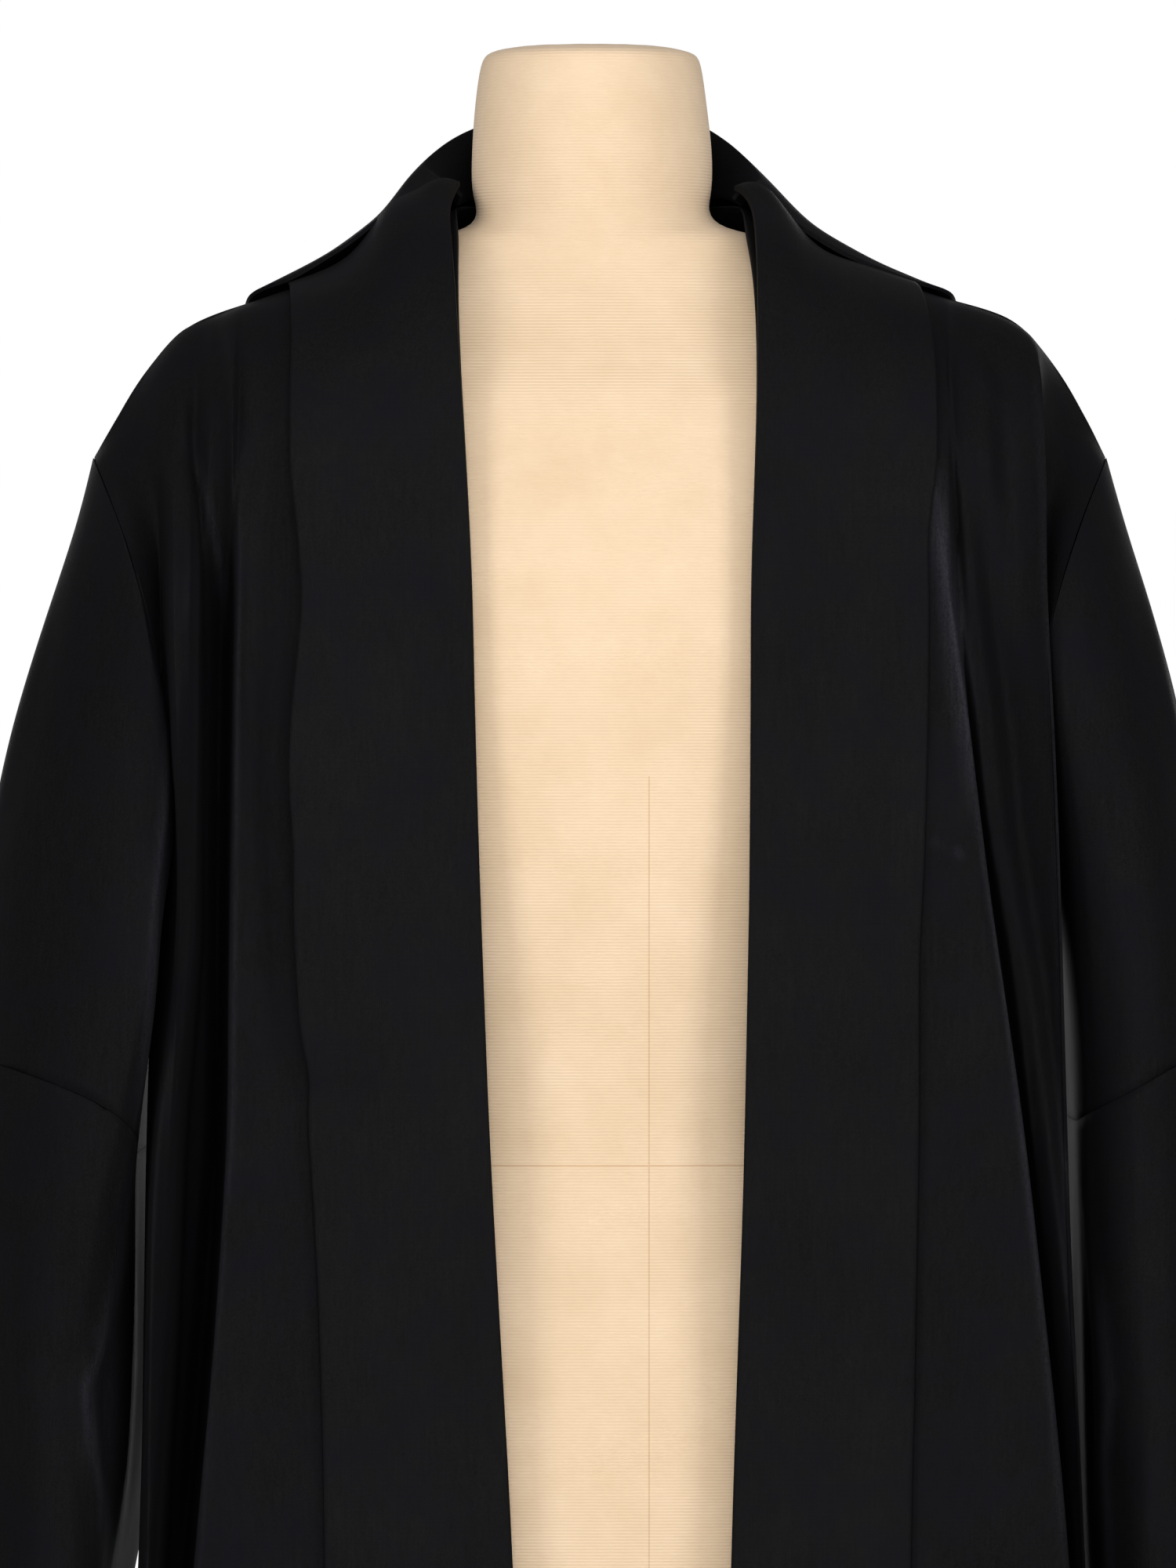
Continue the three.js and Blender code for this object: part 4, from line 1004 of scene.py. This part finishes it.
def shorten_long_edges(mesh: Mesh) -> None:
    """Halves the grid's long edges, so that creases have points to lie on.

    Args:
        mesh: The dense mesh, changed in place.
    """
    bm = bmesh.new()
    bm.from_mesh(mesh)
    long_edges = [edge for edge in bm.edges if edge.calc_length() > LONGEST_EDGE * MM]
    bmesh.ops.subdivide_edges(bm, edges=long_edges, cuts=1, use_grid_fill=True)
    bm.to_mesh(mesh)
    bm.free()
    mesh.update()


def finish_surface(piece: Object, levels: int) -> None:
    """Shades the piece smooth, and divides it once more where levels says so.

    Args:
        piece: The object.
        levels: How often it is divided; 0 leaves it as it is.
    """
    make_active(piece)
    bpy.ops.object.shade_smooth_by_angle(angle=math.radians(SHADE_ANGLE))
    if levels:
        apply_subdivision(piece, levels)


@dataclass
class Gown:
    """The gown: two fronts, a back, two bands, a flap collar and two hanging sleeves."""

    pieces: list[ClothPiece] = field(default_factory=list)

    def build(self, frame: dict) -> None:
        """Builds every piece of cloth.
        """
        self.pieces = [
            ClothPiece("front_left", (420, 1400), "hung", ("form_torso",), area=0.51),
            ClothPiece("front_right", (420, 1400), "hung", ("form_torso",), area=0.413),
            ClothPiece("back", (900, 1360), "hung", ("form_torso",), area=0.92, last_levels=0),
            ClothPiece("revers_left", (115, 1360), "hung", ("front_left_cloth",), wave=0.5, area=0.133,
                       shift=band_swing(Side.LEFT)),
            ClothPiece("revers_right", (105, 1360), "hung", ("front_right_cloth",), wave=0.5, area=0.128,
                       shift=band_swing(Side.RIGHT)),
            ClothPiece("collar_back", (520, 260), "folded", ("back_cloth",), wave=0.5, area=0.1),
            ClothPiece("sleeve_upper_left", (520, 330), "hung", ("front_left_cloth",), area=0.13),
            ClothPiece("sleeve_upper_right", (500, 320), "hung", ("front_right_cloth",), area=0.115),
            ClothPiece("sleeve_lower_left", (540, 340), "hung", ("sleeve_upper_left_cloth",), area=0.17),
            ClothPiece("sleeve_lower_right", (520, 350), "hung", ("sleeve_upper_right_cloth",), area=0.165),
        ]
        for piece in self.pieces:
            piece.build(frame)

    def dress(self) -> None:
        """Gives the cloth its finish: the pressed face of the bands is a little smoother."""
        cloth = GownCloth("black_worsted_pressed").make()
        facing = GownCloth("black_worsted_band", dark="#0b0b0b", light="#131313", roughness=0.56).make()
        for piece in self.pieces:
            piece.dress(facing if piece.node.startswith("revers") else cloth)


@dataclass
class DressForm:
    """The armless form that carries the gown: torso and neck in one, under stretched jersey."""

    node: str = "form_torso"
    levels: int = 2
    # Between these heights and before this depth, the slope of the chest is evened out.
    chest: tuple[float, float] = (1395.0, 1462.0)
    chest_depth: float = 30.0
    chest_rounds: int = 120
    chest_step: float = 0.5
    piece: Object | None = field(default=None, init=False)

    def build(self, frame: dict) -> None:
        """Smooths a copy of the form's solid.
        """
        self.piece = copy_solid(frame, self.node, "form_jersey_body")
        regrid(self.piece.data, 0.0)
        fit_smooth(self.piece)
        apply_subdivision(self.piece, self.levels)
        self.even_chest()
        finish_surface(self.piece, 0)

    def even_chest(self) -> None:
        """Takes out the level line where the chest turns over to the shoulders."""
        low, high = self.chest
        body = bmesh.new()
        body.from_mesh(self.piece.data)
        chest = [
            vert for vert in body.verts
            if low * MM < vert.co.z < high * MM and vert.co.y < -self.chest_depth * MM
        ]
        for _ in range(self.chest_rounds):
            bmesh.ops.smooth_vert(
                body, verts=chest, factor=self.chest_step, use_axis_x=False, use_axis_y=True, use_axis_z=True
            )
        body.to_mesh(self.piece.data)
        body.free()

    def dress(self) -> None:
        """Puts the jersey on the form."""
        self.piece.data.materials.clear()
        self.piece.data.materials.append(FormJersey("cotton_jersey_ribbed").make())
        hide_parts(self.node)
        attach(self.piece, "root")
        log.info("form: %d faces", len(self.piece.data.polygons))


@dataclass
class Stand:
    """The round foot and the pole."""

    foot_sides: int = 96
    foot_radius: float = 190.0
    foot_edge: float = 8.0
    slope_radius: float = 104.5
    slope_top: float = 15.7
    dome_radius: float = 39.0
    dome_top: float = 22.0
    hub_radius: float = 27.0
    hub_foot: float = 28.0
    hub_top: float = 62.0
    foot_round: float = 1.2
    pole_sides: int = 64
    pole_radius: float = 16.0
    pole_bottom: float = 14.3
    pole_top: float = 839.7
    pole_round: float = 0.8
    # Steeper edges than these are rounded, in degrees.
    foot_sharp: float = 35.0
    pole_sharp: float = 60.0
    # Edges sharper than this stay sharp in the shading.
    shade_angle: float = 30.0
    # Faces whose normal rises more than this look up.
    upward: float = 0.9
    pieces: list[Object] = field(default_factory=list, init=False)

    def build(self) -> None:
        """Models the foot and the pole."""
        self.pieces = [self.build_foot(), self.build_pole()]

    def build_foot(self) -> Object:
        """Turns a flat disc into the stepped foot with its hub.

        Returns:
            The foot.
        """
        bpy.ops.object.select_all(action="DESELECT")
        bpy.ops.mesh.primitive_cylinder_add(
            vertices=self.foot_sides,
            radius=self.foot_radius * MM,
            depth=self.foot_edge * MM,
            location=(0, 0, self.foot_edge / 2 * MM),
        )
        foot = bpy.context.active_object
        foot.name = "stand_foot"
        bpy.ops.object.transform_apply(location=True, rotation=True, scale=True)
        steps = (
            (self.foot_radius, self.slope_radius, self.slope_top - self.foot_edge),
            (self.slope_radius, self.dome_radius, self.dome_top - self.slope_top),
            (self.dome_radius, self.hub_radius, self.hub_foot - self.dome_top),
        )
        bpy.ops.object.mode_set(mode="EDIT")
        bpy.ops.mesh.select_mode(type="FACE")
        bpy.ops.mesh.select_all(action="DESELECT")
        self.select_top(foot)
        for outer, inner, rise in steps:
            bpy.ops.mesh.inset(thickness=(outer - inner) * MM)
            bpy.ops.transform.translate(value=(0, 0, rise * MM))
        bpy.ops.mesh.extrude_region_move(
            TRANSFORM_OT_translate={"value": (0, 0, (self.hub_top - self.hub_foot) * MM)}
        )
        bpy.ops.object.mode_set(mode="OBJECT")
        self.round_edges(foot, self.foot_round, self.foot_sharp)
        return foot

    def build_pole(self) -> Object:
        """Models the pole as a bevelled bar.

        Returns:
            The pole.
        """
        bpy.ops.object.select_all(action="DESELECT")
        bpy.ops.mesh.primitive_cylinder_add(
            vertices=self.pole_sides,
            radius=self.pole_radius * MM,
            depth=(self.pole_top - self.pole_bottom) * MM,
            location=(0, 0, (self.pole_top + self.pole_bottom) / 2 * MM),
        )
        pole = bpy.context.active_object
        pole.name = "stand_pole_bar"
        bpy.ops.object.transform_apply(location=True, rotation=True, scale=True)
        self.round_edges(pole, self.pole_round, self.pole_sharp)
        return pole

    def select_top(self, piece: Object) -> None:
        """Selects the face that looks up.

        Args:
            piece: The object, in edit mode.
        """
        bm = bmesh.from_edit_mesh(piece.data)
        for face in bm.faces:
            face.select = face.normal.z > self.upward
        bmesh.update_edit_mesh(piece.data)

    def round_edges(self, piece: Object, width: float, angle: float) -> None:
        """Rounds the sharp edges and shades the piece smooth.

        Args:
            piece: The object.
            width: Width of the round, in millimetres.
            angle: Edges sharper than this are rounded, in degrees.
        """
        bevel = piece.modifiers.new("round", "BEVEL")
        bevel.width = width * MM
        bevel.segments = 3
        bevel.limit_method = "ANGLE"
        bevel.angle_limit = math.radians(angle)
        make_active(piece)
        bpy.ops.object.modifier_apply(modifier=bevel.name)
        bpy.ops.object.shade_smooth_by_angle(angle=math.radians(self.shade_angle))

    def dress(self) -> None:
        """Gives foot and pole their steel."""
        steel = StandSteel("brushed_stainless_steel").make()
        for piece, node in zip(self.pieces, ("stand_base", "stand_pole")):
            piece.data.materials.clear()
            piece.data.materials.append(steel)
            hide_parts(node)
            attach(piece, "root")
            log.info("%s: %d faces", piece.name, len(piece.data.polygons))


@dataclass
class Studio:
    """Camera, floor and light."""

    middle: tuple[float, float] = (-6.0, 1191.0)
    distance: float = 8000.0
    # Height of the photograph's frame at the gown.
    frame_height: float = 806.5
    sensor: float = 36.0
    # Side of the square floor, in metres.
    floor_side: float = 14.0
    # Light of the white surround on the gown, where the white that the camera sees is 1.
    surround: float = 0.26
    # Height that the lamps point at, in metres.
    aim: float = 1.25

    def build(self) -> None:
        """Places the camera, the floor and the lights."""
        self.place_camera()
        self.lay_floor()
        self.light()

    def place_camera(self) -> None:
        """Looks level along +Y at the upper gown."""
        data = bpy.data.cameras.new("camera")
        data.sensor_width = self.sensor
        data.lens = self.sensor * self.distance / self.frame_height
        data.clip_end = 100.0
        camera = bpy.data.objects.new("camera", data)
        bpy.context.scene.collection.objects.link(camera)
        camera.location = (self.middle[0] * MM, -self.distance * MM, self.middle[1] * MM)
        camera.rotation_euler = (math.radians(90), 0.0, 0.0)
        bpy.context.scene.camera = camera

    def lay_floor(self) -> None:
        """Lays a pale floor."""
        bpy.ops.object.select_all(action="DESELECT")
        bpy.ops.mesh.primitive_plane_add(size=self.floor_side, location=(0, 0, 0))
        floor = bpy.context.active_object
        floor.name = "floor"
        floor.data.materials.append(StudioPaper("white_paper").make())

    def light(self) -> None:
        """Sets a bright even surround and the soft lamps."""
        world = bpy.data.worlds.new("studio")
        bpy.context.scene.world = world
        world.use_nodes = True
        tree = world.node_tree
        tree.nodes.clear()
        rays = add_node(tree, "ShaderNodeLightPath")
        strength = add_node(
            tree,
            "ShaderNodeMapRange",
            inputs={3: self.surround, 4: 1.0},
            links={0: rays.outputs["Is Camera Ray"]},
        )
        surround = add_node(
            tree,
            "ShaderNodeBackground",
            inputs={0: linear("#ffffff")},
            links={1: strength.outputs[0]},
        )
        add_node(tree, "ShaderNodeOutputWorld", links={0: surround.outputs[0]})
        self.lamp("key", (0.0, -0.85, 1.3), (0.25, 2.4), 5.0)
        self.lamp("fill", (0.0, -2.5, 2.2), (3.0, 2.4), 26.0)
        self.lamp("left", (-1.6, -1.5, 1.9), (0.8, 2.2), 22.0)
        self.lamp("right", (1.6, -1.5, 1.9), (0.8, 2.2), 22.0)
        self.lamp("rear_left", (-0.7, 2.6, 1.3), (1.0, 1.6), 12.0)
        self.lamp("rear_right", (0.7, 2.6, 1.3), (1.0, 1.6), 12.0)
        bpy.context.scene.view_settings.view_transform = "Standard"

    def lamp(
        self, name: str, place: tuple[float, float, float], size: tuple[float, float], power: float
    ) -> None:
        """Adds a soft lamp that points at the upper gown.

        Args:
            name: Name of the lamp.
            place: Where it hangs, in metres.
            size: Width and height, in metres.
            power: Power in watts.
        """
        data = bpy.data.lights.new(name, "AREA")
        data.shape = "RECTANGLE"
        data.size = size[0]
        data.size_y = size[1]
        data.energy = power
        lamp = bpy.data.objects.new(name, data)
        bpy.context.scene.collection.objects.link(lamp)
        lamp.location = place
        way = Vector((0.0, 0.0, self.aim)) - Vector(place)
        lamp.rotation_euler = way.to_track_quat("-Z", "Y").to_euler()
        lamp.visible_camera = False


def main() -> None:
    """Builds the scene piece by piece."""
    logging.basicConfig(level=logging.INFO, format="%(message)s")
    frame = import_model()
    Studio().build()
    gown = Gown()
    gown.build(frame)
    gown.dress()
    form = DressForm()
    form.build(frame)
    form.dress()
    stand = Stand()
    stand.build()
    stand.dress()


if __name__ == "__main__":
    main()
